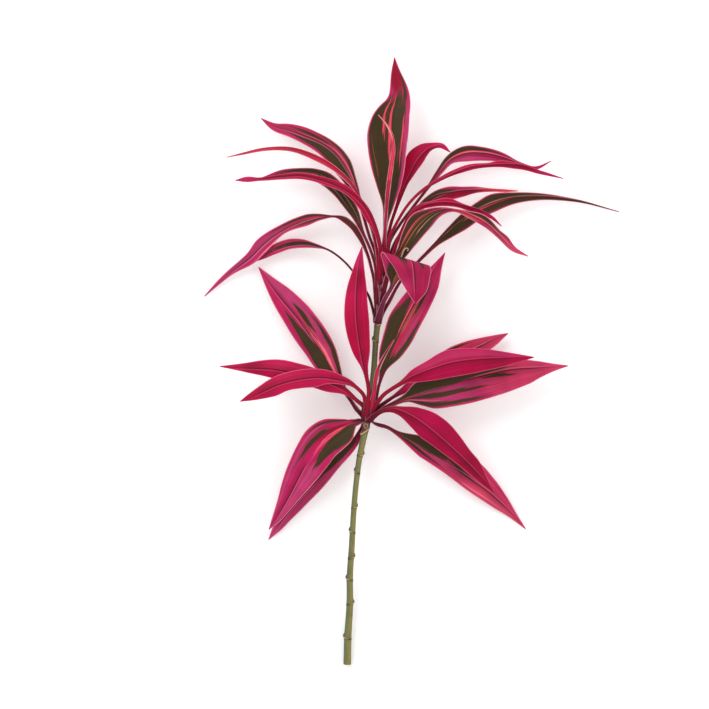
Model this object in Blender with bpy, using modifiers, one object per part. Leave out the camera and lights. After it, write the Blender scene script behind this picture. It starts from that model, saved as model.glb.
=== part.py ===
"""Cut cane of a red-edged dracaena with two whorls of lance-shaped leaves.

The cut cane lies on a flat surface, as it would after it was set down.
It rests on the lower edge of its cut end and on the tips of four drooping leaves.
Z is up, the cane runs along +Y and X goes across it.
The origin is on the surface, under the middle of the whole plant.
Each leaf grew as a piece of its own, so each leaf is a solid of its own.
"""
import math

import bmesh
import bpy
from mathutils import Matrix, Vector

MM = 0.001

# Driving dimensions of the cane, in millimetres
CANE_ROUTE = [
    (-96, -459, 6.3), (-95, -416, 11), (-92, -366, 17), (-92, -326, 22), (-89, -278, 28),
    (-87, -240, 32), (-82, -180, 39), (-78, -149, 42), (-72, -119, 46), (-67, -95, 48),
    (-61, -59, 51), (-56, -14, 54), (-53, 31, 57), (-50, 61, 60), (-47, 91, 62),
    (-44, 120, 64), (-41, 150, 66), (-40, 172, 67),
]
CANE_RADII = [
    (-460, 5.9), (-330, 4.9), (-200, 4.2), (-112, 4.9), (-98, 5.8), (-66, 5.8), (-46, 4.9), (0, 4.4),
    (52, 4.6), (76, 5.0), (104, 5.4), (136, 5.4), (160, 4.4), (175, 2.8),
]
CANE_SIDES = 12
CANE_STEPS = 64
SCAR_HEIGHT = 0.7
SCAR_REACH = 5.0
# Leaf scars: place along the cane (Y) and the side that the old leaf grew on, in degrees
SCARS = [
    (-419, 180), (-367, 0), (-330, 180), (-297, 0), (-258, 180), (-221, 20), (-168, 200),
    (-142, 10), (-116, 170), (29, 185), (53, 10),
]

# Driving dimensions that all leaves share, in millimetres
FOOT_GAP = 0.35
FOOT_RUN = 4.2
STALK_WIDTH = 4.6
TIP_WIDTH = 1.0
RIB_THICKNESS = 2.2
BLADE_THICKNESS = 0.9
LEAF_STEPS_ALONG = 22
LEAF_STEPS_ACROSS = 4


def lance(width, stalk, widest):
    """Outline of a plain lance-shaped blade: rows of share of the length, left half and right half."""
    rows = [(0.0, STALK_WIDTH / 2, STALK_WIDTH / 2), (stalk, STALK_WIDTH / 2, STALK_WIDTH / 2)]
    for part in (0.25, 0.5, 0.75, 1.0):
        half = (STALK_WIDTH + (width - STALK_WIDTH) * math.sin(part * math.pi / 2) ** 1.4) / 2
        rows.append((stalk + (widest - stalk) * part, half, half))
    for part in (0.25, 0.5, 0.75, 0.9, 1.0):
        half = (TIP_WIDTH + (width - TIP_WIDTH) * math.cos(part * math.pi / 2) ** 1.1) / 2
        rows.append((widest + (1.0 - widest) * part, half, half))
    return rows


# One row a leaf. "seat" is the place along the cane (Y) and the side round it in degrees:
# 0 is right, 90 up, 180 left and 270 down. "route" is the midrib from the stalk to the tip.
# "face" is 1 where the patterned upper side looks up and -1 where the plain underside does.
# "outline" gives the two half widths at shares of the length, left and right as seen from above.
# "roll" turns the blade about its midrib, at the foot, the middle and the tip.
# "fold" is the angle of each half to a flat blade.
# "wave" is the height of the waved edge, the number of waves and where they start.
# "rows_along" is one direction across the whole blade, for the leaf that is folded over.
LEAVES = {
    "leaf_lower_01": dict(
        seat=(-84, 200), face=1, fold=14, roll=(0, -10, 0), wave=(2, 2.0, 0.0),
        outline=[(0, 2.3, 2.3), (0.12, 2.5, 2.5), (0.2, 6, 7), (0.3, 17, 16), (0.4, 22.5, 22),
                 (0.5, 22.5, 26.5), (0.6, 21.5, 26), (0.7, 18, 23.5), (0.8, 13, 19), (0.9, 7.5, 10),
                 (1, 0.5, 0.5)],
        route=[(-82, -73, 42), (-95, -53, 40), (-107, -35, 38), (-119, -16, 36), (-134, 13, 33), (-152, 38, 30),
               (-171, 64, 26), (-197, 95, 20), (-230, 141, 10)]),
    "leaf_lower_02": dict(
        seat=(-71, 112), face=-1, fold=12, roll=(0, 5, 0), wave=(1.5, 2.0, 0.3),
        outline=[(0, 2.3, 2.3), (0.18, 2.3, 3.5), (0.25, 4, 6), (0.35, 12, 13.5), (0.45, 16.5, 17),
                 (0.55, 18.5, 18.5), (0.65, 17.5, 17), (0.75, 14.5, 14.5), (0.85, 9, 9.5), (0.93, 5, 5),
                 (1, 0.5, 0.5)],
        route=[(-64, -46, 61), (-68, -23, 66), (-74, 7, 73), (-79, 38, 78), (-82, 72, 80), (-81, 113, 79),
               (-78, 143, 76), (-74, 170, 72)]),
    "leaf_lower_03": dict(
        seat=(-76, 165), face=-1, fold=12, roll=(0, 0, 0), wave=(1.5, 2.0, 0.5),
        outline=[(0, 2.3, 2.3), (0.12, 2.5, 2.3), (0.2, 8, 4.5), (0.3, 14, 9.5), (0.4, 14.5, 14),
                 (0.5, 14.5, 15.5), (0.62, 14.5, 16), (0.74, 10.5, 12), (0.85, 6, 7), (0.93, 3, 3.5),
                 (1, 0.5, 0.5)],
        route=[(-71, -73, 51), (-83, -59, 54), (-97, -46, 58), (-117, -36, 62), (-142, -27, 64),
               (-174, -19, 63), (-208, -13, 60), (-249, -11, 53), (-287, -9, 44)]),
    "leaf_lower_04": dict(
        seat=(-66, 140), face=-1, fold=12, roll=(0, 0, 0), wave=(1.5, 2.0, 0.1),
        outline=[(0, 2.3, 2.3), (0.15, 3, 2.3), (0.25, 6, 6.5), (0.35, 8.5, 11), (0.45, 14.5, 13),
                 (0.55, 14, 14), (0.65, 13, 14), (0.75, 14.5, 12.5), (0.85, 10, 9), (0.93, 5.5, 5),
                 (1, 0.5, 0.5)],
        route=[(-70, -55, 56), (-79, -43, 62), (-91, -34, 69), (-112, -28, 76), (-139, -25, 81),
               (-168, -28, 82), (-196, -35, 79), (-226, -48, 73), (-256, -61, 66)]),
    "leaf_lower_05": dict(
        seat=(-61, 12), face=1, fold=14, roll=(0, 0, 0), wave=(1.5, 2.0, 0.4),
        outline=[(0, 2.3, 2.3), (0.12, 2.3, 2.3), (0.2, 7, 5), (0.3, 16, 17), (0.4, 21, 23), (0.5, 25, 24),
                 (0.6, 22.5, 24), (0.7, 18.5, 22), (0.8, 12.5, 18), (0.9, 6, 9), (1, 0.5, 0.5)],
        route=[(-50, -43, 57), (-45, -26, 60), (-38, -2, 62), (-27, 23, 61), (-14, 50, 58), (2, 80, 53),
               (20, 110, 48), (36, 138, 43), (51, 162, 37)]),
    "leaf_lower_06": dict(
        seat=(-73, 325), face=1, fold=12, roll=(0, 0, 0), wave=(1, 2.0, 0.2),
        outline=[(0, 2.3, 2.3), (0.14, 2.3, 2.3), (0.3, 9, 9), (0.45, 15, 13), (0.6, 18.5, 15), (0.7, 17, 14.5),
                 (0.8, 13, 12.5), (0.9, 6.5, 9), (0.96, 3, 4), (1, 0.5, 0.5)],
        route=[(-36, -61, 42), (-1, -38, 38), (36, -14, 33), (74, 7, 28), (104, 21, 22), (126, 32, 18),
               (147, 41, 14)]),
    "leaf_lower_07": dict(
        seat=(-69, 45), face=-1, fold=12, roll=(0, 0, 0), wave=(1.5, 2.0, 0.6),
        outline=[(0, 2.3, 2.3), (0.2, 3, 3.3), (0.25, 5.5, 4.5), (0.3, 10, 10), (0.4, 14.5, 16.5),
                 (0.5, 20.5, 20), (0.6, 19.5, 20.5), (0.7, 16.5, 18), (0.8, 12, 13.5), (0.9, 6.5, 7.5),
                 (1, 0.5, 0.5)],
        route=[(-42, -52, 58), (-30, -43, 64), (-15, -34, 69), (1, -25, 74), (28, -14, 79), (61, -4, 83),
               (98, 1, 85), (140, 3, 83), (183, 5, 77)]),
    "leaf_lower_08": dict(
        seat=(-81, 0), face=1, fold=12, roll=(0, 0, 0), wave=(2, 2.0, 0.0),
        outline=[(0, 2.3, 2.3), (0.1, 3, 3), (0.18, 8, 6), (0.24, 18, 18), (0.3, 20, 28), (0.4, 23, 32.5),
                 (0.5, 24, 35), (0.6, 23, 34.5), (0.7, 18.5, 31.5), (0.8, 13, 23.5), (0.86, 10, 14.5),
                 (0.93, 5, 6.5), (1, 0.5, 0.5)],
        route=[(-39, -71, 50), (-17, -61, 52), (13, -50, 54), (58, -37, 55), (103, -24, 53), (149, -14, 49),
               (194, -11, 44), (236, -8, 39)]),
    "leaf_lower_09": dict(
        seat=(-86, 50), face=-1, fold=12, roll=(0, 0, 0), wave=(1.5, 2.0, 0.4),
        outline=[(0, 2.3, 2.3), (0.1, 2.6, 2.6), (0.2, 7.5, 6.5), (0.3, 17.5, 13), (0.4, 24.5, 17.5),
                 (0.5, 25.5, 16), (0.6, 22, 14), (0.7, 17, 11.5), (0.8, 14.5, 9.5), (0.9, 7, 6.5),
                 (1, 0.5, 0.5)],
        route=[(-47, -77, 60), (-30, -73, 67), (-9, -79, 72), (10, -90, 74), (31, -106, 74), (53, -125, 72),
               (79, -149, 68), (103, -174, 62), (124, -198, 54)]),
    "leaf_lower_10": dict(
        seat=(-95, 350), face=1, fold=12, roll=(0, 0, 0), wave=(1.5, 2.0, 0.7),
        outline=[(0, 2.3, 2.3), (0.12, 2.5, 2.5), (0.2, 9, 8.5), (0.3, 20, 14.5), (0.4, 26, 14.5),
                 (0.5, 28.5, 15), (0.6, 28, 16.5), (0.7, 21, 16), (0.8, 13.5, 12.5), (0.9, 6, 6),
                 (1, 0.5, 0.5)],
        route=[(-39, -99, 48), (-19, -110, 46), (3, -122, 43), (32, -140, 38), (62, -160, 31), (91, -180, 24),
               (115, -197, 17), (140, -219, 9), (174, -255, 1)]),
    "leaf_lower_11": dict(
        seat=(-92, 165), face=1, fold=12, roll=(0, 0, 0), wave=(1.5, 2.0, 0.2),
        outline=[(0, 2.3, 2.3), (0.04, 7, 3), (0.1, 21, 12), (0.2, 27, 26), (0.3, 28, 30), (0.4, 29, 27),
                 (0.5, 27, 24), (0.6, 22, 21.5), (0.7, 16.5, 17.5), (0.8, 12, 12), (0.9, 8, 6.5),
                 (1, 0.5, 0.5)],
        route=[(-80, -91, 51), (-91, -95, 52), (-109, -105, 52), (-129, -119, 51), (-147, -139, 48),
               (-161, -161, 44), (-173, -184, 39), (-189, -214, 32), (-214, -255, 22)]),
    "leaf_lower_12": dict(
        seat=(-106, 212), face=1, fold=12, roll=(0, 0, 0), wave=(1, 2.0, 0.5),
        outline=[(0, 2.3, 2.3), (0.05, 4, 3), (0.1, 7, 7), (0.2, 9, 13), (0.3, 10.5, 16), (0.4, 13, 17),
                 (0.5, 14, 16.5), (0.6, 13.5, 15), (0.7, 12.5, 13), (0.8, 10, 10), (0.9, 7, 6.5),
                 (1, 0.5, 0.5)],
        route=[(-81, -116, 41), (-93, -132, 37), (-111, -150, 32), (-132, -171, 26), (-153, -193, 20),
               (-173, -215, 13), (-193, -240, 6), (-215, -271, 1)]),
    "leaf_lower_13": dict(
        seat=(-60, 62), face=-1, fold=30, roll=(0, 0, 0), wave=(0, 1.0, 0.0),
        outline=lance(6, 0.2, 0.4),
        route=[(-55, -41, 66), (-50, -14, 76), (-38, 11, 88), (-26, 31, 97)]),
    "leaf_upper_01": dict(
        seat=None, face=1, fold=12, roll=(0, 0, 0), wave=(2, 2.0, 0.2),
        outline=[(0, 2.3, 2.3), (0.1, 3, 3.5), (0.2, 7, 11), (0.3, 17.5, 19), (0.4, 26.5, 24), (0.5, 31, 27),
                 (0.58, 32, 29.5), (0.66, 26.5, 30), (0.72, 17, 28.5), (0.76, 11.5, 26), (0.84, 9, 17),
                 (0.92, 5, 9), (1, 0.5, 0.5)],
        route=[(-39, 198, 67), (-36, 240, 67), (-34, 285, 66), (-34, 330, 63), (-32, 368, 59), (-23, 402, 54),
               (-25, 433, 50), (-25, 455, 47)]),
    "leaf_upper_02": dict(
        seat=(165, 310), face=-1, fold=12, roll=(0, 0, 0), wave=(1, 1.0, 0.0),
        outline=[(0, 2.3, 2.3), (0.3, 2.5, 2.3), (0.4, 4.5, 2.3), (0.5, 7.5, 2.5), (0.6, 12, 5.5),
                 (0.7, 18.5, 8), (0.78, 15, 6), (0.86, 7, 3), (0.94, 3.5, 3.5), (1, 0.5, 0.5)],
        route=[(-32, 198, 60), (-24, 224, 56), (-13, 252, 53), (-2, 277, 50), (11, 301, 47), (28, 318, 45),
               (46, 322, 43), (59, 313, 38)]),
    "leaf_upper_03": dict(
        seat=(128, 195), face=1, fold=12, roll=(0, 0, 0), wave=(1, 2.0, 0.0),
        outline=[(0, 2.3, 2.3), (0.3, 2.3, 2.3), (0.38, 6, 4), (0.46, 13, 7), (0.54, 18, 12), (0.62, 17.5, 12),
                 (0.7, 15, 12), (0.78, 11.5, 13), (0.86, 9.5, 9.5), (0.94, 6, 4), (1, 0.5, 0.5)],
        route=[(-53, 157, 58), (-63, 187, 56), (-75, 229, 54), (-85, 262, 52), (-98, 289, 50), (-113, 310, 47),
               (-134, 326, 43), (-159, 337, 38), (-182, 346, 33), (-204, 352, 28), (-226, 365, 23)]),
    "leaf_upper_04": dict(
        seat=(134, 130), face=1, fold=10, roll=(0, 62, 58), wave=(1, 2.0, 0.0),
        outline=lance(18, 0.3, 0.65),
        route=[(-52, 165, 74), (-60, 198, 78), (-71, 229, 81), (-88, 260, 83), (-115, 285, 84), (-148, 303, 83),
               (-181, 314, 80), (-219, 315, 75), (-252, 309, 70), (-276, 304, 65)]),
    "leaf_upper_05": dict(
        seat=(146, 108), face=-1, fold=12, roll=(0, 20, 20), wave=(1.5, 3.0, 0.0),
        outline=[(0, 2.3, 2.3), (0.14, 3.5, 3), (0.25, 8, 4.5), (0.35, 7, 5), (0.45, 5, 8.5), (0.52, 6, 8),
                 (0.6, 5, 5.5), (0.7, 5, 5), (0.8, 4.3, 3.5), (0.88, 3, 2.8), (0.94, 3.5, 5.5), (1, 0.5, 0.5)],
        route=[(-47, 171, 80), (-56, 202, 90), (-71, 230, 98), (-90, 248, 101), (-112, 260, 101),
               (-136, 269, 100), (-163, 275, 97), (-193, 274, 92), (-223, 271, 86), (-263, 269, 79)]),
    "leaf_upper_06": dict(
        seat=(104, 150), face=1, fold=12, roll=(0, 0, 0), wave=(1, 2.0, 0.0),
        outline=[(0, 2.3, 2.3), (0.28, 2.3, 2.3), (0.36, 4, 5), (0.45, 7, 10), (0.55, 8, 13), (0.65, 9, 13),
                 (0.72, 8, 10), (0.8, 6, 7), (0.9, 4, 5), (1, 0.5, 0.5)],
        route=[(-53, 135, 67), (-61, 165, 68), (-74, 194, 67), (-85, 218, 66), (-97, 236, 64), (-111, 254, 61),
               (-126, 268, 57), (-145, 278, 52), (-167, 282, 47), (-189, 282, 42), (-224, 275, 36)]),
    "leaf_upper_07": dict(
        seat=(84, 170), face=1, fold=12, roll=(0, 20, 0), wave=(1, 3.0, 0.0),
        outline=[(0, 2.3, 2.3), (0.2, 2.5, 2.3), (0.3, 4, 6), (0.35, 4, 6), (0.4, 1.6, 2), (0.45, 5, 6),
                 (0.5, 9.5, 9.5), (0.6, 6, 9.5), (0.7, 11, 12), (0.76, 11, 8.5), (0.85, 5, 5.5),
                 (0.93, 2.5, 3.5), (1, 0.5, 0.5)],
        route=[(-55, 112, 63), (-60, 139, 60), (-67, 163, 57), (-77, 184, 53), (-90, 202, 49), (-110, 215, 44),
               (-134, 215, 40), (-162, 209, 35), (-192, 196, 30), (-220, 176, 24), (-242, 155, 18),
               (-273, 132, 11), (-312, 97, 1)]),
    "leaf_upper_08": dict(
        seat=(66, 190), face=1, fold=12, roll=(0, 0, 0), wave=(1, 2.0, 0.0),
        outline=[(0, 1.6, 1.6), (0.52, 1.6, 1.6), (0.6, 4.5, 3.5), (0.68, 6, 8), (0.76, 6, 10), (0.84, 6.5, 9),
                 (0.92, 5, 5), (1, 0.5, 0.5)],
        route=[(-63, 95, 53), (-75, 115, 48), (-89, 136, 44), (-104, 152, 40), (-122, 165, 36), (-149, 174, 31),
               (-179, 174, 26), (-208, 165, 20), (-236, 149, 14)]),
    "leaf_upper_09": dict(
        seat=(152, 305), face=1, fold=12, roll=(0, 0, 0), wave=(1, 2.0, 0.0),
        outline=[(0, 2.3, 2.3), (0.35, 2.3, 2.5), (0.44, 4.5, 4.5), (0.52, 8, 6), (0.6, 11.5, 12.5),
                 (0.68, 9.5, 11.5), (0.76, 7.5, 8), (0.84, 3.5, 5.5), (0.92, 2, 4), (1, 0.5, 0.5)],
        route=[(-33, 176, 53), (-18, 202, 49), (2, 229, 45), (26, 261, 40), (44, 285, 37), (60, 302, 34),
               (80, 311, 32), (107, 312, 29), (137, 306, 25), (165, 296, 21), (187, 291, 18), (212, 301, 16)]),
    "leaf_upper_10": dict(
        seat=(156, 55), face=-1, fold=12, roll=(0, 0, 0), wave=(1, 2.0, 0.0),
        outline=[(0, 2.3, 2.3), (0.36, 2.8, 1.6), (0.46, 4.8, 2), (0.56, 5.5, 4), (0.65, 4, 3),
                 (0.71, 6.5, 3.5), (0.78, 4, 5.5), (0.86, 2.3, 4.5), (0.93, 2, 2.5), (1, 0.5, 0.5)],
        route=[(-32, 183, 77), (-21, 207, 82), (-1, 237, 86), (20, 256, 88), (43, 269, 90), (66, 280, 90),
               (90, 288, 89), (117, 291, 87), (143, 292, 84), (167, 290, 80), (192, 282, 75), (227, 272, 68)]),
    "leaf_upper_11": dict(
        seat=(136, 355), face=1, fold=12, roll=(0, 0, 0), wave=(1, 2.0, 0.0),
        outline=[(0, 2.3, 2.3), (0.3, 2.3, 2.3), (0.42, 5, 6), (0.52, 8, 9.5), (0.6, 9.5, 11), (0.68, 6.5, 9),
                 (0.76, 5, 4.5), (0.85, 2.3, 3), (0.93, 1.5, 3), (1, 0.5, 0.5)],
        route=[(-29, 165, 62), (-17, 189, 60), (0, 213, 58), (18, 234, 57), (39, 247, 56), (61, 252, 54),
               (85, 255, 51), (123, 256, 45), (161, 255, 39)]),
    "leaf_upper_12": dict(
        seat=(72, 350), face=1, fold=12, roll=(0, 0, 0), wave=(1, 3.0, 0.0),
        outline=[(0, 2.3, 2.3), (0.2, 2.3, 2.5), (0.3, 2.5, 5), (0.36, 4.5, 11), (0.42, 7.5, 15.5),
                 (0.5, 11, 14.5), (0.55, 13.5, 14), (0.62, 8.5, 10), (0.7, 6, 6), (0.8, 3, 3.5),
                 (0.9, 1.5, 1.5), (1, 0.5, 0.5)],
        route=[(-28, 98, 57), (-10, 127, 50), (12, 150, 47), (35, 174, 43), (59, 197, 39), (86, 218, 36),
               (115, 234, 32), (148, 244, 27), (187, 247, 20), (247, 242, 10), (315, 225, 1)]),
    "leaf_upper_13": dict(
        seat=(124, 40), face=-1, fold=12, roll=(0, 0, 0), wave=(1, 2.0, 0.0),
        outline=[(0, 2.3, 2.3), (0.35, 2.5, 2.3), (0.45, 5, 3.3), (0.55, 4.5, 5), (0.64, 7.5, 5),
                 (0.72, 3.5, 4.5), (0.8, 2, 6), (0.88, 1.5, 5), (0.94, 1.5, 3), (1, 0.5, 0.5)],
        route=[(-28, 155, 71), (-18, 186, 74), (-6, 210, 76), (10, 227, 78), (32, 234, 79), (58, 235, 78),
               (82, 230, 75), (103, 224, 71), (118, 217, 67), (135, 201, 62)]),
    "leaf_upper_14": dict(
        seat=(108, 45), face=1, fold=12, roll=(0, 0, 0), wave=(1, 2.0, 0.0),
        outline=[(0, 2.3, 2.3), (0.1, 3, 5), (0.2, 4.5, 13), (0.3, 11, 18.5), (0.38, 14.5, 19.3), (0.44, 8, 16),
                 (0.5, 4.2, 8.5), (0.56, 2.4, 3), (0.62, 4.5, 4.5), (0.7, 9.5, 6), (0.8, 7, 4.3),
                 (0.86, 8.5, 3.8), (0.93, 3.5, 4), (1, 0.5, 0.5)],
        route=[(-30, 144, 78), (-18, 163, 85), (-7, 183, 90), (10, 206, 94), (29, 220, 96), (50, 225, 96),
               (69, 223, 94), (89, 216, 90), (111, 204, 83), (130, 187, 77), (148, 170, 70), (175, 156, 62)]),
    "leaf_upper_15": dict(
        seat=(64, 80), face=1, fold=0, roll=(0, 0, 0), wave=(0, 1.0, 0.0), rows_along=(0.96, -0.28, 0),
        outline=[(0, 2.3, 2.3), (0.2, 3, 3), (0.31, 5, 3), (0.4, 20, 6), (0.5, 34, 20), (0.57, 43, 28),
                 (0.66, 42, 28), (0.74, 32, 24), (0.86, 20, 18), (0.94, 10, 8), (1, 0.5, 0.5)],
        route=[(-41, 89, 73), (-32, 105, 79), (-22, 122, 88), (-11, 138, 99), (-1, 149, 112), (2, 143, 119),
               (4, 130, 119), (5, 115, 115), (6, 98, 110), (6, 84, 105)]),
    "leaf_upper_16": dict(
        seat=(167, 100), face=1, fold=25, roll=(0, 0, 0), wave=(0, 1.0, 0.0),
        outline=lance(7, 0.2, 0.5),
        route=[(-40, 186, 78), (-38, 217, 80), (-35, 255, 82), (-30, 292, 85), (-27, 318, 88), (-30, 338, 90),
               (-39, 354, 92), (-50, 366, 94)]),
}

CANE_GREEN = (0.21, 0.24, 0.11)
LEAF_UPPER_SIDE = (0.36, 0.04, 0.13)
LEAF_UNDERSIDE = (0.50, 0.01, 0.09)


def clear_scene():
    """Start from an empty scene."""
    for old in list(bpy.data.objects):
        bpy.data.objects.remove(old, do_unlink=True)


def finish_material(name, colour, roughness):
    """A plain Principled finish."""
    material = bpy.data.materials.new(name)
    material.use_nodes = True
    shader = material.node_tree.nodes["Principled BSDF"]
    shader.inputs["Base Color"].default_value = (*colour, 1.0)
    shader.inputs["Roughness"].default_value = roughness
    shader.inputs["Metallic"].default_value = 0.0
    return material


def between(pairs, place):
    """A value read in a list of (place, value) pairs, with straight runs between them."""
    if place <= pairs[0][0]:
        return pairs[0][1]
    for (start, low), (end, high) in zip(pairs, pairs[1:]):
        if place <= end:
            return low + (high - low) * (place - start) / (end - start)
    return pairs[-1][1]


def smooth_route(points, count):
    """Evenly spaced points on a smooth curve through the hand-set ones."""
    runs = [(b - a).length for a, b in zip(points, points[1:])]
    slopes = [(points[1] - points[0]) / runs[0]]
    for before, here, after, run_in, run_out in zip(points, points[1:], points[2:], runs, runs[1:]):
        arriving = (here - before) / run_in
        leaving = (after - here) / run_out
        slopes.append((arriving * run_out + leaving * run_in) / (run_in + run_out))
    slopes.append((points[-1] - points[-2]) / runs[-1])
    dense = []
    parts = 12
    for a, b, slope_a, slope_b, run in zip(points, points[1:], slopes, slopes[1:], runs):
        for part in range(parts):
            t = part / parts
            dense.append(
                a * (2 * t ** 3 - 3 * t ** 2 + 1) + slope_a * run * (t ** 3 - 2 * t ** 2 + t)
                + b * (3 * t ** 2 - 2 * t ** 3) + slope_b * run * (t ** 3 - t ** 2))
    dense.append(points[-1])
    lengths = [0.0]
    for a, b in zip(dense, dense[1:]):
        lengths.append(lengths[-1] + (b - a).length)
    even = []
    at = 0
    for step in range(count + 1):
        goal = lengths[-1] * step / count
        while at < len(dense) - 2 and lengths[at + 1] < goal:
            at += 1
        share = (goal - lengths[at]) / (lengths[at + 1] - lengths[at])
        even.append(dense[at].lerp(dense[at + 1], min(1.0, share)))
    return even


def directions(points):
    """Unit direction of travel at each point of a route."""
    ahead = points[1:] + points[-1:]
    behind = points[:1] + points[:-1]
    return [(b - a).normalized() for a, b in zip(behind, ahead)]


def cane_frame(place):
    """Centre, right, up and forward of the cane at a place along Y, in millimetres."""
    for centre, forward in zip(CANE_CENTRES, CANE_FORWARDS):
        if centre.y >= place:
            break
    centre = centre + forward * ((place - centre.y) / forward.y)
    right = forward.cross(Vector((0, 0, 1))).normalized()
    return centre, right, right.cross(forward), forward


def scar_swell(place, angle):
    """How far the scars stand out of the cane at a place and an angle round it."""
    swell = 0.0
    for scar_place, scar_side in SCARS:
        away = abs(place - scar_place) / SCAR_REACH
        if away < 1.0:
            facing = 0.65 + 0.35 * math.cos(math.radians(angle - scar_side))
            swell += SCAR_HEIGHT * facing * (1.0 - away) ** 2 * (1.0 + 2.0 * away)
    return swell


def add_object(name, shape, material, collection):
    """Give a finished bmesh an object of its own."""
    mesh = bpy.data.meshes.new(name)
    shape.to_mesh(mesh)
    shape.free()
    mesh.materials.append(material)
    thing = bpy.data.objects.new(name, mesh)
    collection.objects.link(thing)
    return thing


def make_cane(material, collection):
    """The cane: a grid rolled into a tube along its route and closed at both ends."""
    shape = bmesh.new()
    bmesh.ops.create_grid(shape, x_segments=CANE_SIDES, y_segments=CANE_STEPS, size=0.5)
    for vertex in shape.verts:
        angle = 360.0 * (vertex.co.x + 0.5)
        row = round((vertex.co.y + 0.5) * CANE_STEPS)
        centre = CANE_RINGS[row]
        forward = CANE_RING_FORWARDS[row]
        right = forward.cross(Vector((0, 0, 1))).normalized()
        up = right.cross(forward)
        radius = between(CANE_RADII, centre.y) + scar_swell(centre.y, angle)
        turn = math.radians(angle)
        vertex.co = (centre + (right * math.cos(turn) + up * math.sin(turn)) * radius) * MM
    bmesh.ops.remove_doubles(shape, verts=shape.verts, dist=0.00005)
    bmesh.ops.holes_fill(shape, edges=[edge for edge in shape.edges if edge.is_boundary])
    bmesh.ops.triangulate(shape, faces=[face for face in shape.faces if len(face.verts) > 4])
    bmesh.ops.recalc_face_normals(shape, faces=shape.faces)
    cane = add_object("cane", shape, material, collection)
    cane.data.shade_smooth()
    return cane


def leaf_route(leaf):
    """The hand-set midrib, led back to its seat on the cane."""
    points = [Vector(point) for point in leaf["route"]]
    if leaf["seat"] is None:
        tip = CANE_RINGS[-1]
        forward = CANE_RING_FORWARDS[-1]
        return [tip + forward * FOOT_GAP, tip + forward * FOOT_RUN] + points
    place, side = leaf["seat"]
    centre, right, up, forward = cane_frame(place)
    turn = math.radians(side)
    outward = right * math.cos(turn) + up * math.sin(turn)
    reach = between(CANE_RADII, place) + FOOT_GAP
    foot = centre + outward * reach
    return [foot, foot + outward * FOOT_RUN] + points


def leaf_frames(points, rolls):
    """Across and normal directions of the blade at each point of the midrib."""
    up = Vector((0, 0, 1))
    forwards = directions(points)
    middle = len(points) * 2 // 3
    across = [None] * len(points)
    across[middle] = forwards[middle].cross(up).normalized()
    order = list(range(middle + 1, len(points))) + list(range(middle - 1, -1, -1))
    for index in order:
        before = across[index - 1] if index > middle else across[index + 1]
        forward = forwards[index]
        carried = (before - forward * before.dot(forward)).normalized()
        flat = forward.cross(up)
        if flat.dot(carried) < 0:
            flat = -flat
        hold = min(1.0, flat.length)
        across[index] = (carried * (1.0 - hold) + flat * hold).normalized()
    frames = []
    last = len(points) - 1
    for index, (forward, side) in enumerate(zip(forwards, across)):
        roll = between([(0, rolls[0]), (0.5, rolls[1]), (1, rolls[2])], index / last)
        side = Matrix.Rotation(math.radians(roll), 3, forward) @ side
        frames.append((side, side.cross(forward)))
    return frames


def half_width(leaf, along, side):
    """Half width of a leaf at a share of its length, on its left (1) or its right (2)."""
    return between([(row[0], row[side]) for row in leaf["outline"]], along)


def make_leaf(name, leaf, material, collection):
    """One leaf: a grid bent along its midrib, folded, waved and given its thickness."""
    foot, *rest = leaf_route(leaf)
    points = [foot] + smooth_route(rest, LEAF_STEPS_ALONG - 1)
    frames = leaf_frames(points, leaf["roll"])
    if "rows_along" in leaf:
        side = Vector(leaf["rows_along"]).normalized()
        frames = [(side, side.cross(forward).normalized()) for forward in directions(points)]
    slope = math.tan(math.radians(leaf["fold"])) * leaf["face"]
    height, count, start = leaf["wave"]
    shape = bmesh.new()
    bmesh.ops.create_grid(shape, x_segments=LEAF_STEPS_ACROSS, y_segments=LEAF_STEPS_ALONG, size=0.5)
    weights = shape.verts.layers.deform.new()
    for vertex in shape.verts:
        across = 2.0 * vertex.co.x
        row = round((vertex.co.y + 0.5) * LEAF_STEPS_ALONG)
        along = max(0.0, (row - 1) / (LEAF_STEPS_ALONG - 1))
        half = half_width(leaf, along, 1 if across < 0 else 2)
        side, normal = frames[row]
        spread = min(1.0, half / 8.0)
        lift = abs(across) * half * slope
        lift += height * spread * across ** 2 * math.sin(2 * math.pi * (count * along + start) + across)
        vertex.co = (points[row] + side * across * half + normal * lift) * MM
        near_rib = max(0.0, 1.0 - abs(across) * 2) * (1.0 - 0.5 * along)
        stalk = 1.0 - min(1.0, max(0.0, (half - STALK_WIDTH / 2) / STALK_WIDTH)) if along < 0.5 else 0.0
        vertex[weights][0] = max(near_rib, stalk)
    bmesh.ops.triangulate(shape, faces=shape.faces)
    thing = add_object(name, shape, material, collection)
    thing.vertex_groups.new(name="rib")
    body = thing.modifiers.new("thickness", "SOLIDIFY")
    body.thickness = RIB_THICKNESS * MM
    body.offset = 0.0
    body.vertex_group = "rib"
    body.thickness_vertex_group = BLADE_THICKNESS / RIB_THICKNESS
    return thing


CANE_LINE = [Vector(point) for point in CANE_ROUTE]
CANE_CENTRES = smooth_route(CANE_LINE, 400)
CANE_FORWARDS = directions(CANE_CENTRES)
CANE_RINGS = smooth_route(CANE_LINE, CANE_STEPS)
CANE_RING_FORWARDS = directions(CANE_RINGS)


def main():
    """Build the whole plant."""
    clear_scene()
    plant = bpy.data.collections.new("dracaena_cane")
    bpy.context.scene.collection.children.link(plant)
    green = finish_material("cane_green", CANE_GREEN, 0.5)
    upper = finish_material("leaf_upper_side", LEAF_UPPER_SIDE, 0.4)
    under = finish_material("leaf_underside", LEAF_UNDERSIDE, 0.45)
    make_cane(green, plant)
    for name, leaf in LEAVES.items():
        make_leaf(name, leaf, upper if leaf["face"] > 0 else under, plant)


main()
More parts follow.
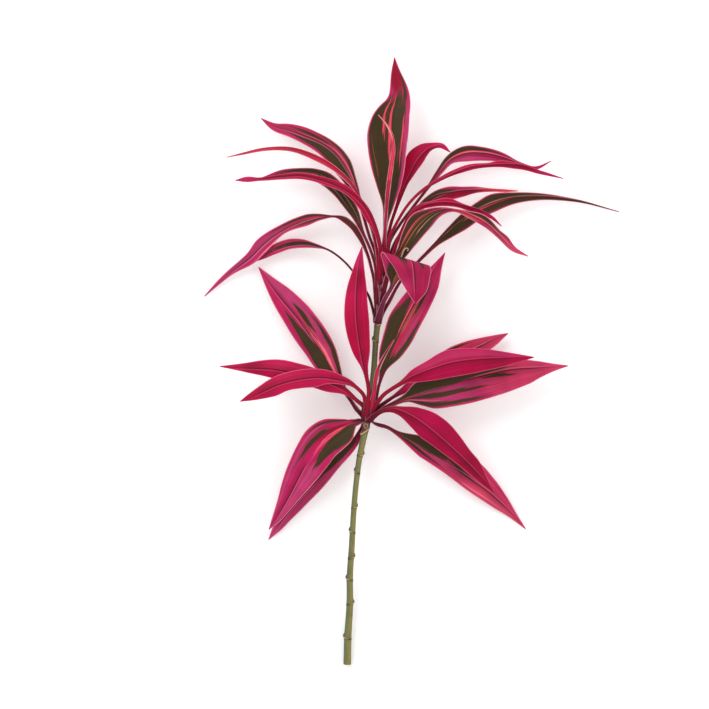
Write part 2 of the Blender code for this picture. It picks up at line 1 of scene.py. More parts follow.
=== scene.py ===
# %% [markdown]
# # A cut dracaena cane on a table, seen from above
# The frame holds the plant as plain solids: one cane and twenty-nine leaves.
# This lesson puts a finer, coloured piece in the place of each solid.
# Then it lights the plant and sets a camera over it.
# Every length is in millimetres until it goes into a mesh, because leaves are easier to think of that way.

# %% Load the frame
import math

import bmesh
import bpy
from mathutils import Matrix, Vector, noise


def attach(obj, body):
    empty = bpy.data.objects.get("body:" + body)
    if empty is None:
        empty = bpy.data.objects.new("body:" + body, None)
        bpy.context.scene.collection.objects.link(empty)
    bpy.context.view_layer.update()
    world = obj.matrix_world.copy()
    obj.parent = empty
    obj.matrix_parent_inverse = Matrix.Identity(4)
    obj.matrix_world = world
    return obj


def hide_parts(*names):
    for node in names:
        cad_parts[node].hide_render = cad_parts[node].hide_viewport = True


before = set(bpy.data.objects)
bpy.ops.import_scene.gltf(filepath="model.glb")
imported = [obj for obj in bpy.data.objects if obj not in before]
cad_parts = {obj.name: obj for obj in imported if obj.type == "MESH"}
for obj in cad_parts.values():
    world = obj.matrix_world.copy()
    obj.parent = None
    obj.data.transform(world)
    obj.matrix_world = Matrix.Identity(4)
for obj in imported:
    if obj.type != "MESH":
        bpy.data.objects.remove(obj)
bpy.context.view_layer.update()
MM = 0.001
UP = Vector((0, 0, 1))
print("nodes in the frame:", len(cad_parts))

# %% [markdown]
# ## The cane's line and the leaves' seats
# The cane is a thin stem that bends a little, with a ring or a bud where each old leaf fell off.
# Its line is a handful of points with a smooth curve through them.
# These are the values of the solids, so the finer pieces land in the same places.
# Only the scar nearest to the lower leaves is moved, 10 mm up the cane, to where its wide ring shows.

# %% Cane values
CANE_ROUTE = [
    (-96, -459, 6.3), (-95, -416, 11), (-92, -366, 17), (-92, -326, 22), (-89, -278, 28),
    (-87, -240, 32), (-82, -180, 39), (-78, -149, 42), (-72, -119, 46), (-67, -95, 48),
    (-61, -59, 51), (-56, -14, 54), (-53, 31, 57), (-50, 61, 60), (-47, 91, 62),
    (-44, 120, 64), (-41, 150, 66), (-40, 172, 67),
]
# Radius of the cane at places along it (Y)
CANE_RADII = [
    (-460, 5.9), (-330, 4.9), (-200, 4.2), (-112, 4.9), (-98, 5.8), (-66, 5.8), (-46, 4.9), (0, 4.4),
    (52, 4.6), (76, 5.0), (104, 5.4), (136, 5.4), (160, 4.4), (175, 2.8),
]
CANE_STEPS = 64
# Leaf scars: place along the cane (Y) and the side that the old leaf grew on, in degrees
WIDE_SCAR = -106
SCARS = [
    (-419, 180), (-367, 0), (-330, 180), (-297, 0), (-258, 180), (-221, 20), (-168, 200),
    (-142, 10), (WIDE_SCAR, 170), (29, 185), (53, 10),
]
print("cane length:", CANE_ROUTE[-1][1] - CANE_ROUTE[0][1], "mm")

# %% [markdown]
# ## One row of values a leaf
# A leaf is described by its midrib and by the width of each half.
# "fold" is its keel in degrees and "roll" turns it at its foot, its middle and its tip.
# "wave" is the height of its waved edge, the number of waves and where they start.
# "seat" is the place along the cane and the side round it, and "route" is the midrib.
# "face" is 1 where the patterned upper side looks up and -1 where the plain underside does.
# "rows_along" is only on the folded leaf and holds all its rows in one direction.
# The shares in "outline" run along the leaf from 0 at the foot of the stalk to 1 at the tip.

# %% Leaf values
STALK_WIDTH = 4.6
TIP_WIDTH = 1.0
FOOT_GAP = 0.35
FOOT_RUN = 4.2


def lance(width, stalk, widest):
    """Outline of a plain lance-shaped blade: rows of share of the length, left half and right half."""
    rows = [(0.0, STALK_WIDTH / 2, STALK_WIDTH / 2), (stalk, STALK_WIDTH / 2, STALK_WIDTH / 2)]
    for part in (0.25, 0.5, 0.75, 1.0):
        half = (STALK_WIDTH + (width - STALK_WIDTH) * math.sin(part * math.pi / 2) ** 1.4) / 2
        rows.append((stalk + (widest - stalk) * part, half, half))
    for part in (0.25, 0.5, 0.75, 0.9, 1.0):
        half = (TIP_WIDTH + (width - TIP_WIDTH) * math.cos(part * math.pi / 2) ** 1.1) / 2
        rows.append((widest + (1.0 - widest) * part, half, half))
    return rows


LEAVES = {
    "leaf_lower_01": dict(
        seat=(-84, 200), face=1, fold=14, roll=(0, -10, 0), wave=(2, 2.0, 0.0),
        outline=[(0, 2.3, 2.3), (0.12, 2.5, 2.5), (0.2, 6, 7), (0.3, 17, 16), (0.4, 22.5, 22),
                 (0.5, 22.5, 26.5), (0.6, 21.5, 26), (0.7, 18, 23.5), (0.8, 13, 19), (0.9, 7.5, 10),
                 (1, 0.5, 0.5)],
        route=[(-82, -73, 42), (-95, -53, 40), (-107, -35, 38), (-119, -16, 36), (-134, 13, 33), (-152, 38, 30),
               (-171, 64, 26), (-197, 95, 20), (-230, 141, 10)]),
    "leaf_lower_02": dict(
        seat=(-71, 112), face=-1, fold=12, roll=(0, 5, 0), wave=(1.5, 2.0, 0.3),
        outline=[(0, 2.3, 2.3), (0.18, 2.3, 3.5), (0.25, 4, 6), (0.35, 12, 13.5), (0.45, 16.5, 17),
                 (0.55, 18.5, 18.5), (0.65, 17.5, 17), (0.75, 14.5, 14.5), (0.85, 9, 9.5), (0.93, 5, 5),
                 (1, 0.5, 0.5)],
        route=[(-64, -46, 61), (-68, -23, 66), (-74, 7, 73), (-79, 38, 78), (-82, 72, 80), (-81, 113, 79),
               (-78, 143, 76), (-74, 170, 72)]),
    "leaf_lower_03": dict(
        seat=(-76, 165), face=-1, fold=12, roll=(0, 0, 0), wave=(1.5, 2.0, 0.5),
        outline=[(0, 2.3, 2.3), (0.12, 2.5, 2.3), (0.2, 8, 4.5), (0.3, 14, 9.5), (0.4, 14.5, 14),
                 (0.5, 14.5, 15.5), (0.62, 14.5, 16), (0.74, 10.5, 12), (0.85, 6, 7), (0.93, 3, 3.5),
                 (1, 0.5, 0.5)],
        route=[(-71, -73, 51), (-83, -59, 54), (-97, -46, 58), (-117, -36, 62), (-142, -27, 64),
               (-174, -19, 63), (-208, -13, 60), (-249, -11, 53), (-287, -9, 44)]),
    "leaf_lower_04": dict(
        seat=(-66, 140), face=-1, fold=12, roll=(0, 0, 0), wave=(1.5, 2.0, 0.1),
        outline=[(0, 2.3, 2.3), (0.15, 3, 2.3), (0.25, 6, 6.5), (0.35, 8.5, 11), (0.45, 14.5, 13),
                 (0.55, 14, 14), (0.65, 13, 14), (0.75, 14.5, 12.5), (0.85, 10, 9), (0.93, 5.5, 5),
                 (1, 0.5, 0.5)],
        route=[(-70, -55, 56), (-79, -43, 62), (-91, -34, 69), (-112, -28, 76), (-139, -25, 81),
               (-168, -28, 82), (-196, -35, 79), (-226, -48, 73), (-256, -61, 66)]),
    "leaf_lower_05": dict(
        seat=(-61, 12), face=1, fold=14, roll=(0, 0, 0), wave=(1.5, 2.0, 0.4),
        outline=[(0, 2.3, 2.3), (0.12, 2.3, 2.3), (0.2, 7, 5), (0.3, 16, 17), (0.4, 21, 23), (0.5, 25, 24),
                 (0.6, 22.5, 24), (0.7, 18.5, 22), (0.8, 12.5, 18), (0.9, 6, 9), (1, 0.5, 0.5)],
        route=[(-50, -43, 57), (-45, -26, 60), (-38, -2, 62), (-27, 23, 61), (-14, 50, 58), (2, 80, 53),
               (20, 110, 48), (36, 138, 43), (51, 162, 37)]),
    "leaf_lower_06": dict(
        seat=(-73, 325), face=1, fold=12, roll=(0, 0, 0), wave=(1, 2.0, 0.2),
        outline=[(0, 2.3, 2.3), (0.14, 2.3, 2.3), (0.3, 9, 9), (0.45, 15, 13), (0.6, 18.5, 15), (0.7, 17, 14.5),
                 (0.8, 13, 12.5), (0.9, 6.5, 9), (0.96, 3, 4), (1, 0.5, 0.5)],
        route=[(-36, -61, 42), (-1, -38, 38), (36, -14, 33), (74, 7, 28), (104, 21, 22), (126, 32, 18),
               (147, 41, 14)]),
    "leaf_lower_07": dict(
        seat=(-69, 45), face=-1, fold=12, roll=(0, 0, 0), wave=(1.5, 2.0, 0.6),
        outline=[(0, 2.3, 2.3), (0.2, 3, 3.3), (0.25, 5.5, 4.5), (0.3, 10, 10), (0.4, 14.5, 16.5),
                 (0.5, 20.5, 20), (0.6, 19.5, 20.5), (0.7, 16.5, 18), (0.8, 12, 13.5), (0.9, 6.5, 7.5),
                 (1, 0.5, 0.5)],
        route=[(-42, -52, 58), (-30, -43, 64), (-15, -34, 69), (1, -25, 74), (28, -14, 79), (61, -4, 83),
               (98, 1, 85), (140, 3, 83), (183, 5, 77)]),
    "leaf_lower_08": dict(
        seat=(-81, 0), face=1, fold=12, roll=(0, 0, 0), wave=(2, 2.0, 0.0),
        outline=[(0, 2.3, 2.3), (0.1, 3, 3), (0.18, 8, 6), (0.24, 18, 18), (0.3, 20, 28), (0.4, 23, 32.5),
                 (0.5, 24, 35), (0.6, 23, 34.5), (0.7, 18.5, 31.5), (0.8, 13, 23.5), (0.86, 10, 14.5),
                 (0.93, 5, 6.5), (1, 0.5, 0.5)],
        route=[(-39, -71, 50), (-17, -61, 52), (13, -50, 54), (58, -37, 55), (103, -24, 53), (149, -14, 49),
               (194, -11, 44), (236, -8, 39)]),
    "leaf_lower_09": dict(
        seat=(-86, 50), face=-1, fold=12, roll=(0, 0, 0), wave=(1.5, 2.0, 0.4),
        outline=[(0, 2.3, 2.3), (0.1, 2.6, 2.6), (0.2, 7.5, 6.5), (0.3, 17.5, 13), (0.4, 24.5, 17.5),
                 (0.5, 25.5, 16), (0.6, 22, 14), (0.7, 17, 11.5), (0.8, 14.5, 9.5), (0.9, 7, 6.5),
                 (1, 0.5, 0.5)],
        route=[(-47, -77, 60), (-30, -73, 67), (-9, -79, 72), (10, -90, 74), (31, -106, 74), (53, -125, 72),
               (79, -149, 68), (103, -174, 62), (124, -198, 54)]),
    "leaf_lower_10": dict(
        seat=(-95, 350), face=1, fold=12, roll=(0, 0, 0), wave=(1.5, 2.0, 0.7),
        outline=[(0, 2.3, 2.3), (0.12, 2.5, 2.5), (0.2, 9, 8.5), (0.3, 20, 14.5), (0.4, 26, 14.5),
                 (0.5, 28.5, 15), (0.6, 28, 16.5), (0.7, 21, 16), (0.8, 13.5, 12.5), (0.9, 6, 6),
                 (1, 0.5, 0.5)],
        route=[(-39, -99, 48), (-19, -110, 46), (3, -122, 43), (32, -140, 38), (62, -160, 31), (91, -180, 24),
               (115, -197, 17), (140, -219, 9), (174, -255, 1)]),
    "leaf_lower_11": dict(
        seat=(-92, 165), face=1, fold=12, roll=(0, 0, 0), wave=(1.5, 2.0, 0.2),
        outline=[(0, 2.3, 2.3), (0.04, 7, 3), (0.1, 21, 12), (0.2, 27, 26), (0.3, 28, 30), (0.4, 29, 27),
                 (0.5, 27, 24), (0.6, 22, 21.5), (0.7, 16.5, 17.5), (0.8, 12, 12), (0.9, 8, 6.5),
                 (1, 0.5, 0.5)],
        route=[(-80, -91, 51), (-91, -95, 52), (-109, -105, 52), (-129, -119, 51), (-147, -139, 48),
               (-161, -161, 44), (-173, -184, 39), (-189, -214, 32), (-214, -255, 22)]),
    "leaf_lower_12": dict(
        seat=(-106, 212), face=1, fold=12, roll=(0, 0, 0), wave=(1, 2.0, 0.5),
        outline=[(0, 2.3, 2.3), (0.05, 4, 3), (0.1, 7, 7), (0.2, 9, 13), (0.3, 10.5, 16), (0.4, 13, 17),
                 (0.5, 14, 16.5), (0.6, 13.5, 15), (0.7, 12.5, 13), (0.8, 10, 10), (0.9, 7, 6.5),
                 (1, 0.5, 0.5)],
        route=[(-81, -116, 41), (-93, -132, 37), (-111, -150, 32), (-132, -171, 26), (-153, -193, 20),
               (-173, -215, 13), (-193, -240, 6), (-215, -271, 1)]),
    "leaf_lower_13": dict(
        seat=(-60, 62), face=-1, fold=30, roll=(0, 0, 0), wave=(0, 1.0, 0.0),
        outline=lance(6, 0.2, 0.4),
        route=[(-55, -41, 66), (-50, -14, 76), (-38, 11, 88), (-26, 31, 97)]),
    "leaf_upper_01": dict(
        seat=None, face=1, fold=12, roll=(0, 0, 0), wave=(2, 2.0, 0.2),
        outline=[(0, 2.3, 2.3), (0.1, 3, 3.5), (0.2, 7, 11), (0.3, 17.5, 19), (0.4, 26.5, 24), (0.5, 31, 27),
                 (0.58, 32, 29.5), (0.66, 26.5, 30), (0.72, 17, 28.5), (0.76, 11.5, 26), (0.84, 9, 17),
                 (0.92, 5, 9), (1, 0.5, 0.5)],
        route=[(-39, 198, 67), (-36, 240, 67), (-34, 285, 66), (-34, 330, 63), (-32, 368, 59), (-23, 402, 54),
               (-25, 433, 50), (-25, 455, 47)]),
    "leaf_upper_02": dict(
        seat=(165, 310), face=-1, fold=12, roll=(0, 0, 0), wave=(1, 1.0, 0.0),
        outline=[(0, 2.3, 2.3), (0.3, 2.5, 2.3), (0.4, 4.5, 2.3), (0.5, 7.5, 2.5), (0.6, 12, 5.5),
                 (0.7, 18.5, 8), (0.78, 15, 6), (0.86, 7, 3), (0.94, 3.5, 3.5), (1, 0.5, 0.5)],
        route=[(-32, 198, 60), (-24, 224, 56), (-13, 252, 53), (-2, 277, 50), (11, 301, 47), (28, 318, 45),
               (46, 322, 43), (59, 313, 38)]),
    "leaf_upper_03": dict(
        seat=(128, 195), face=1, fold=12, roll=(0, 0, 0), wave=(1, 2.0, 0.0),
        outline=[(0, 2.3, 2.3), (0.3, 2.3, 2.3), (0.38, 6, 4), (0.46, 13, 7), (0.54, 18, 12), (0.62, 17.5, 12),
                 (0.7, 15, 12), (0.78, 11.5, 13), (0.86, 9.5, 9.5), (0.94, 6, 4), (1, 0.5, 0.5)],
        route=[(-53, 157, 58), (-63, 187, 56), (-75, 229, 54), (-85, 262, 52), (-98, 289, 50), (-113, 310, 47),
               (-134, 326, 43), (-159, 337, 38), (-182, 346, 33), (-204, 352, 28), (-226, 365, 23)]),
    "leaf_upper_04": dict(
        seat=(134, 130), face=1, fold=10, roll=(0, 62, 58), wave=(1, 2.0, 0.0),
        outline=lance(18, 0.3, 0.65),
        route=[(-52, 165, 74), (-60, 198, 78), (-71, 229, 81), (-88, 260, 83), (-115, 285, 84), (-148, 303, 83),
               (-181, 314, 80), (-219, 315, 75), (-252, 309, 70), (-276, 304, 65)]),
    "leaf_upper_05": dict(
        seat=(146, 108), face=-1, fold=12, roll=(0, 20, 20), wave=(1.5, 3.0, 0.0),
        outline=[(0, 2.3, 2.3), (0.14, 3.5, 3), (0.25, 8, 4.5), (0.35, 7, 5), (0.45, 5, 8.5), (0.52, 6, 8),
                 (0.6, 5, 5.5), (0.7, 5, 5), (0.8, 4.3, 3.5), (0.88, 3, 2.8), (0.94, 3.5, 5.5), (1, 0.5, 0.5)],
        route=[(-47, 171, 80), (-56, 202, 90), (-71, 230, 98), (-90, 248, 101), (-112, 260, 101),
               (-136, 269, 100), (-163, 275, 97), (-193, 274, 92), (-223, 271, 86), (-263, 269, 79)]),
    "leaf_upper_06": dict(
        seat=(104, 150), face=1, fold=12, roll=(0, 0, 0), wave=(1, 2.0, 0.0),
        outline=[(0, 2.3, 2.3), (0.28, 2.3, 2.3), (0.36, 4, 5), (0.45, 7, 10), (0.55, 8, 13), (0.65, 9, 13),
                 (0.72, 8, 10), (0.8, 6, 7), (0.9, 4, 5), (1, 0.5, 0.5)],
        route=[(-53, 135, 67), (-61, 165, 68), (-74, 194, 67), (-85, 218, 66), (-97, 236, 64), (-111, 254, 61),
               (-126, 268, 57), (-145, 278, 52), (-167, 282, 47), (-189, 282, 42), (-224, 275, 36)]),
    "leaf_upper_07": dict(
        seat=(84, 170), face=1, fold=12, roll=(0, 20, 0), wave=(1, 3.0, 0.0),
        outline=[(0, 2.3, 2.3), (0.2, 2.5, 2.3), (0.3, 4, 6), (0.35, 4, 6), (0.4, 1.6, 2), (0.45, 5, 6),
                 (0.5, 9.5, 9.5), (0.6, 6, 9.5), (0.7, 11, 12), (0.76, 11, 8.5), (0.85, 5, 5.5),
                 (0.93, 2.5, 3.5), (1, 0.5, 0.5)],
        route=[(-55, 112, 63), (-60, 139, 60), (-67, 163, 57), (-77, 184, 53), (-90, 202, 49), (-110, 215, 44),
               (-134, 215, 40), (-162, 209, 35), (-192, 196, 30), (-220, 176, 24), (-242, 155, 18),
               (-273, 132, 11), (-312, 97, 1)]),
    "leaf_upper_08": dict(
        seat=(66, 190), face=1, fold=12, roll=(0, 0, 0), wave=(1, 2.0, 0.0),
        outline=[(0, 1.6, 1.6), (0.52, 1.6, 1.6), (0.6, 4.5, 3.5), (0.68, 6, 8), (0.76, 6, 10), (0.84, 6.5, 9),
                 (0.92, 5, 5), (1, 0.5, 0.5)],
        route=[(-63, 95, 53), (-75, 115, 48), (-89, 136, 44), (-104, 152, 40), (-122, 165, 36), (-149, 174, 31),
               (-179, 174, 26), (-208, 165, 20), (-236, 149, 14)]),
    "leaf_upper_09": dict(
        seat=(152, 305), face=1, fold=12, roll=(0, 0, 0), wave=(1, 2.0, 0.0),
        outline=[(0, 2.3, 2.3), (0.35, 2.3, 2.5), (0.44, 4.5, 4.5), (0.52, 8, 6), (0.6, 11.5, 12.5),
                 (0.68, 9.5, 11.5), (0.76, 7.5, 8), (0.84, 3.5, 5.5), (0.92, 2, 4), (1, 0.5, 0.5)],
        route=[(-33, 176, 53), (-18, 202, 49), (2, 229, 45), (26, 261, 40), (44, 285, 37), (60, 302, 34),
               (80, 311, 32), (107, 312, 29), (137, 306, 25), (165, 296, 21), (187, 291, 18), (212, 301, 16)]),
    "leaf_upper_10": dict(
        seat=(156, 55), face=-1, fold=12, roll=(0, 0, 0), wave=(1, 2.0, 0.0),
        outline=[(0, 2.3, 2.3), (0.36, 2.8, 1.6), (0.46, 4.8, 2), (0.56, 5.5, 4), (0.65, 4, 3),
                 (0.71, 6.5, 3.5), (0.78, 4, 5.5), (0.86, 2.3, 4.5), (0.93, 2, 2.5), (1, 0.5, 0.5)],
        route=[(-32, 183, 77), (-21, 207, 82), (-1, 237, 86), (20, 256, 88), (43, 269, 90), (66, 280, 90),
               (90, 288, 89), (117, 291, 87), (143, 292, 84), (167, 290, 80), (192, 282, 75), (227, 272, 68)]),
    "leaf_upper_11": dict(
        seat=(136, 355), face=1, fold=12, roll=(0, 0, 0), wave=(1, 2.0, 0.0),
        outline=[(0, 2.3, 2.3), (0.3, 2.3, 2.3), (0.42, 5, 6), (0.52, 8, 9.5), (0.6, 9.5, 11), (0.68, 6.5, 9),
                 (0.76, 5, 4.5), (0.85, 2.3, 3), (0.93, 1.5, 3), (1, 0.5, 0.5)],
        route=[(-29, 165, 62), (-17, 189, 60), (0, 213, 58), (18, 234, 57), (39, 247, 56), (61, 252, 54),
               (85, 255, 51), (123, 256, 45), (161, 255, 39)]),
    "leaf_upper_12": dict(
        seat=(72, 350), face=1, fold=12, roll=(0, 0, 0), wave=(1, 3.0, 0.0),
        outline=[(0, 2.3, 2.3), (0.2, 2.3, 2.5), (0.3, 2.5, 5), (0.36, 4.5, 11), (0.42, 7.5, 15.5),
                 (0.5, 11, 14.5), (0.55, 13.5, 14), (0.62, 8.5, 10), (0.7, 6, 6), (0.8, 3, 3.5),
                 (0.9, 1.5, 1.5), (1, 0.5, 0.5)],
        route=[(-28, 98, 57), (-10, 127, 50), (12, 150, 47), (35, 174, 43), (59, 197, 39), (86, 218, 36),
               (115, 234, 32), (148, 244, 27), (187, 247, 20), (247, 242, 10), (315, 225, 1)]),
    "leaf_upper_13": dict(
        seat=(124, 40), face=-1, fold=12, roll=(0, 0, 0), wave=(1, 2.0, 0.0),
        outline=[(0, 2.3, 2.3), (0.35, 2.5, 2.3), (0.45, 5, 3.3), (0.55, 4.5, 5), (0.64, 7.5, 5),
                 (0.72, 3.5, 4.5), (0.8, 2, 6), (0.88, 1.5, 5), (0.94, 1.5, 3), (1, 0.5, 0.5)],
        route=[(-28, 155, 71), (-18, 186, 74), (-6, 210, 76), (10, 227, 78), (32, 234, 79), (58, 235, 78),
               (82, 230, 75), (103, 224, 71), (118, 217, 67), (135, 201, 62)]),
    "leaf_upper_14": dict(
        seat=(108, 45), face=1, fold=12, roll=(0, 0, 0), wave=(1, 2.0, 0.0),
        outline=[(0, 2.3, 2.3), (0.1, 3, 5), (0.2, 4.5, 13), (0.3, 11, 18.5), (0.38, 14.5, 19.3), (0.44, 8, 16),
                 (0.5, 4.2, 8.5), (0.56, 2.4, 3), (0.62, 4.5, 4.5), (0.7, 9.5, 6), (0.8, 7, 4.3),
                 (0.86, 8.5, 3.8), (0.93, 3.5, 4), (1, 0.5, 0.5)],
        route=[(-30, 144, 78), (-18, 163, 85), (-7, 183, 90), (10, 206, 94), (29, 220, 96), (50, 225, 96),
               (69, 223, 94), (89, 216, 90), (111, 204, 83), (130, 187, 77), (148, 170, 70), (175, 156, 62)]),
    "leaf_upper_15": dict(
        seat=(64, 80), face=1, fold=0, roll=(0, 0, 0), wave=(0, 1.0, 0.0), rows_along=(0.96, -0.28, 0),
        outline=[(0, 2.3, 2.3), (0.2, 3, 3), (0.31, 5, 3), (0.4, 20, 6), (0.5, 34, 20), (0.57, 43, 28),
                 (0.66, 42, 28), (0.74, 32, 24), (0.86, 20, 18), (0.94, 10, 8), (1, 0.5, 0.5)],
        route=[(-41, 89, 73), (-32, 105, 79), (-22, 122, 88), (-11, 138, 99), (-1, 149, 112), (2, 143, 119),
               (4, 130, 119), (5, 115, 115), (6, 98, 110), (6, 84, 105)]),
    "leaf_upper_16": dict(
        seat=(167, 100), face=1, fold=25, roll=(0, 0, 0), wave=(0, 1.0, 0.0),
        outline=lance(7, 0.2, 0.5),
        route=[(-40, 186, 78), (-38, 217, 80), (-35, 255, 82), (-30, 292, 85), (-27, 318, 88), (-30, 338, 90),
               (-39, 354, 92), (-50, 366, 94)]),
}

print("leaves described:", len(LEAVES))

# %% [markdown]
# ## Smooth curves through a few points
# A curve object could carry a midrib, but a leaf also needs a direction across it at every step.
# So small helpers walk a smooth curve through the points and give back evenly spaced places.

# %% Reading a list of pairs


def between(pairs, place):
    """A value read in a list of (place, value) pairs, with straight runs between them."""
    if place <= pairs[0][0]:
        return pairs[0][1]
    for (start, low), (end, high) in zip(pairs, pairs[1:]):
        if place <= end:
            return low + (high - low) * (place - start) / (end - start)
    return pairs[-1][1]


def curved(start, end, leaving, arriving, t):
    """A smooth way from one value or point to another, with its slopes at both, while t goes from 0 to 1."""
    return (start * (2 * t ** 3 - 3 * t ** 2 + 1) + leaving * (t ** 3 - 2 * t ** 2 + t)
            + end * (3 * t ** 2 - 2 * t ** 3) + arriving * (t ** 3 - t ** 2))


def eased(pairs, place):
    """The same list read with a smooth curve through its pairs, for an outline without corners."""
    if place <= pairs[0][0]:
        return pairs[0][1]
    for index in range(len(pairs) - 1):
        start, low = pairs[index]
        end, high = pairs[index + 1]
        if place <= end:
            run = end - start
            before = pairs[max(0, index - 1)]
            after = pairs[min(len(pairs) - 1, index + 2)]
            leaving = (high - before[1]) / (end - before[0]) * run
            arriving = (after[1] - low) / (after[0] - start) * run
            if high == low:
                leaving = arriving = 0.0
            return curved(low, high, leaving, arriving, (place - start) / run)
    return pairs[-1][1]


print("cane radius half way:", eased(CANE_RADII, -140), "mm")

# %% Walking along a route
PARTS_A_RUN = 12


def even_places(dense, count):
    """Evenly spaced points along a dense chain of points."""
    lengths = [0.0]
    for a, b in zip(dense, dense[1:]):
        lengths.append(lengths[-1] + (b - a).length)
    even = []
    at = 0
    for step in range(count + 1):
        goal = lengths[-1] * step / count
        while at < len(dense) - 2 and lengths[at + 1] < goal:
            at += 1
        share = (goal - lengths[at]) / (lengths[at + 1] - lengths[at])
        even.append(dense[at].lerp(dense[at + 1], min(1.0, share)))
    return even


def smooth_route(points, count):
    """Evenly spaced points on a smooth curve through the given ones."""
    runs = [(b - a).length for a, b in zip(points, points[1:])]
    slopes = [(points[1] - points[0]) / runs[0]]
    for before, here, after, run_in, run_out in zip(points, points[1:], points[2:], runs, runs[1:]):
        arriving = (here - before) / run_in
        leaving = (after - here) / run_out
        slopes.append((arriving * run_out + leaving * run_in) / (run_in + run_out))
    slopes.append((points[-1] - points[-2]) / runs[-1])
    dense = []
    for a, b, slope_a, slope_b, run in zip(points, points[1:], slopes, slopes[1:], runs):
        for part in range(PARTS_A_RUN):
            dense.append(curved(a, b, slope_a * run, slope_b * run, part / PARTS_A_RUN))
    dense.append(points[-1])
    return even_places(dense, count)


def directions(points):
    """Unit direction of travel at each point of a route."""
    ahead = points[1:] + points[-1:]
    behind = points[:1] + points[:-1]
    return [(b - a).normalized() for a, b in zip(behind, ahead)]


CANE_LINE = [Vector(point) for point in CANE_ROUTE]
CANE_CENTRES = smooth_route(CANE_LINE, 400)
CANE_FORWARDS = directions(CANE_CENTRES)
CANE_TIP = smooth_route(CANE_LINE, CANE_STEPS)[-1]
CANE_TIP_FORWARD = directions(smooth_route(CANE_LINE, CANE_STEPS))[-1]
print("cane tip:", [round(value, 1) for value in CANE_TIP], "mm")

# %% [markdown]
# ## Where a leaf is, row by row
# As a solid, a leaf leaves the cane square to it and then follows its midrib.
# A direction across the blade is carried along the midrib and held level.
# Then the leaf's own roll turns it.
# The solids do this in 22 steps, so the same 22 steps are made first and finer rows are set between them.
# The finer rows start where the listed midrib does, and the sheath of the next step goes before them.

# %% Leaf line
LEAF_STEPS = 22
ROWS_A_STEP = 6


def cane_frame(place):
    """Centre, right, up and forward of the cane at a place along Y, in millimetres."""
    for centre, forward in zip(CANE_CENTRES, CANE_FORWARDS):
        if centre.y >= place:
            break
    centre = centre + forward * ((place - centre.y) / forward.y)
    right = forward.cross(UP).normalized()
    return centre, right, right.cross(forward), forward


def leaf_line(leaf):
    """The foot on the cane, the end of the short run square to it, and the given midrib."""
    points = [Vector(point) for point in leaf["route"]]
    if leaf["seat"] is None:
        return [CANE_TIP + CANE_TIP_FORWARD * FOOT_GAP, CANE_TIP + CANE_TIP_FORWARD * FOOT_RUN] + points
    place, side = leaf["seat"]
    centre, right, up, forward = cane_frame(place)
    turn = math.radians(side)
    outward = right * math.cos(turn) + up * math.sin(turn)
    foot = centre + outward * (between(CANE_RADII, place) + FOOT_GAP)
    return [foot, foot + outward * FOOT_RUN] + points


def across_directions(points, leaf):
    """Direction across the blade at each of the coarse rows."""
    if "rows_along" in leaf:
        return [Vector(leaf["rows_along"]).normalized()] * len(points)
    forwards = directions(points)
    middle = len(points) * 2 // 3
    across = [None] * len(points)
    across[middle] = forwards[middle].cross(UP).normalized()
    order = list(range(middle + 1, len(points))) + list(range(middle - 1, -1, -1))
    for index in order:
        before = across[index - 1] if index > middle else across[index + 1]
        forward = forwards[index]
        carried = (before - forward * before.dot(forward)).normalized()
        flat = forward.cross(UP)
        if flat.dot(carried) < 0:
            flat = -flat
        hold = min(1.0, flat.length)
        across[index] = (carried * (1.0 - hold) + flat * hold).normalized()
    turned = []
    for index, (forward, side) in enumerate(zip(forwards, across)):
        share = index / (len(points) - 1)
        roll = between(list(zip((0, 0.5, 1), leaf["roll"])), share)
        turned.append(Matrix.Rotation(math.radians(roll), 3, forward) @ side)
    return turned


print("points in a leaf's line:", len(leaf_line(LEAVES["leaf_lower_01"])))

# %% [markdown]
# ## How a stalk holds the cane
# On the real plant the foot of a stalk is a sheath: it lies round the cane, under the sheaths of older
# leaves, and only then leaves it. Straight pegs would look like a toy, so the first rows are wrapped
# round the cane and pass smoothly into the stalk.

# %% Sheath values
CLASP_ROWS = 16
# Half of the angle that a sheath spans, in degrees, and how much of it is gone at its top
CLASP_SPREAD = 66.0
SPREAD_NARROWS = 0.35
# From the cane's skin to the innermost sheath, what each layer adds, and how far a sheath loosens to its top
SKIN_TO_SHEATH = 0.7
LAYER_THICKNESS = 0.35
SHEATH_LOOSENS = 1.5
# Longest sheath, the sheath of a leaf that grows backwards, and where the sheaths of each whorl start
SHEATH_LENGTH = 20.0
BACKWARD_SHEATH = 10.0
UPPER_SHEATHS_FROM = 56.0
LOWER_SHEATHS_FROM = -91.5
# How far the wrapped rows run past the seat, as a multiple of the sheath
SHEATH_OVERRUN = 1.3
# Shares of the sheath at which it starts to leave the cane, and that it takes to be free
FREE_FROM = 0.2
FREE_RUN = 0.7


def seat_of(leaf):
    """Place along the cane and side round it. The last leaf sits on the tip of the cane."""
    return leaf["seat"] or (CANE_TIP.y, 90)


def sheath_length(place, way):
    """How far a sheath reaches down the cane from the leaf's seat."""
    if place > 0:
        return min(SHEATH_LENGTH, place - UPPER_SHEATHS_FROM)
    if way > 0:
        return place - LOWER_SHEATHS_FROM
    return BACKWARD_SHEATH


print("sheath of leaf upper 03:", sheath_length(seat_of(LEAVES["leaf_upper_03"])[0], 1.0), "mm")

# %% [markdown]
# ## The rows of a sheath
# Each row has two places: wrapped round the cane, and free on the way to the stalk.
# A sheath lies a layer further out for each younger one that it covers.
# From its bottom to its top, the rows pass from the first place to the second.

# %% Clasping feet


def layers_under(place):
    """How many younger leaves sit just above a place, under the sheath of the leaf there."""
    seats = [seat_of(leaf)[0] for leaf in LEAVES.values()]
    return sum(1 for seat in seats if place < seat < place + SHEATH_LENGTH)


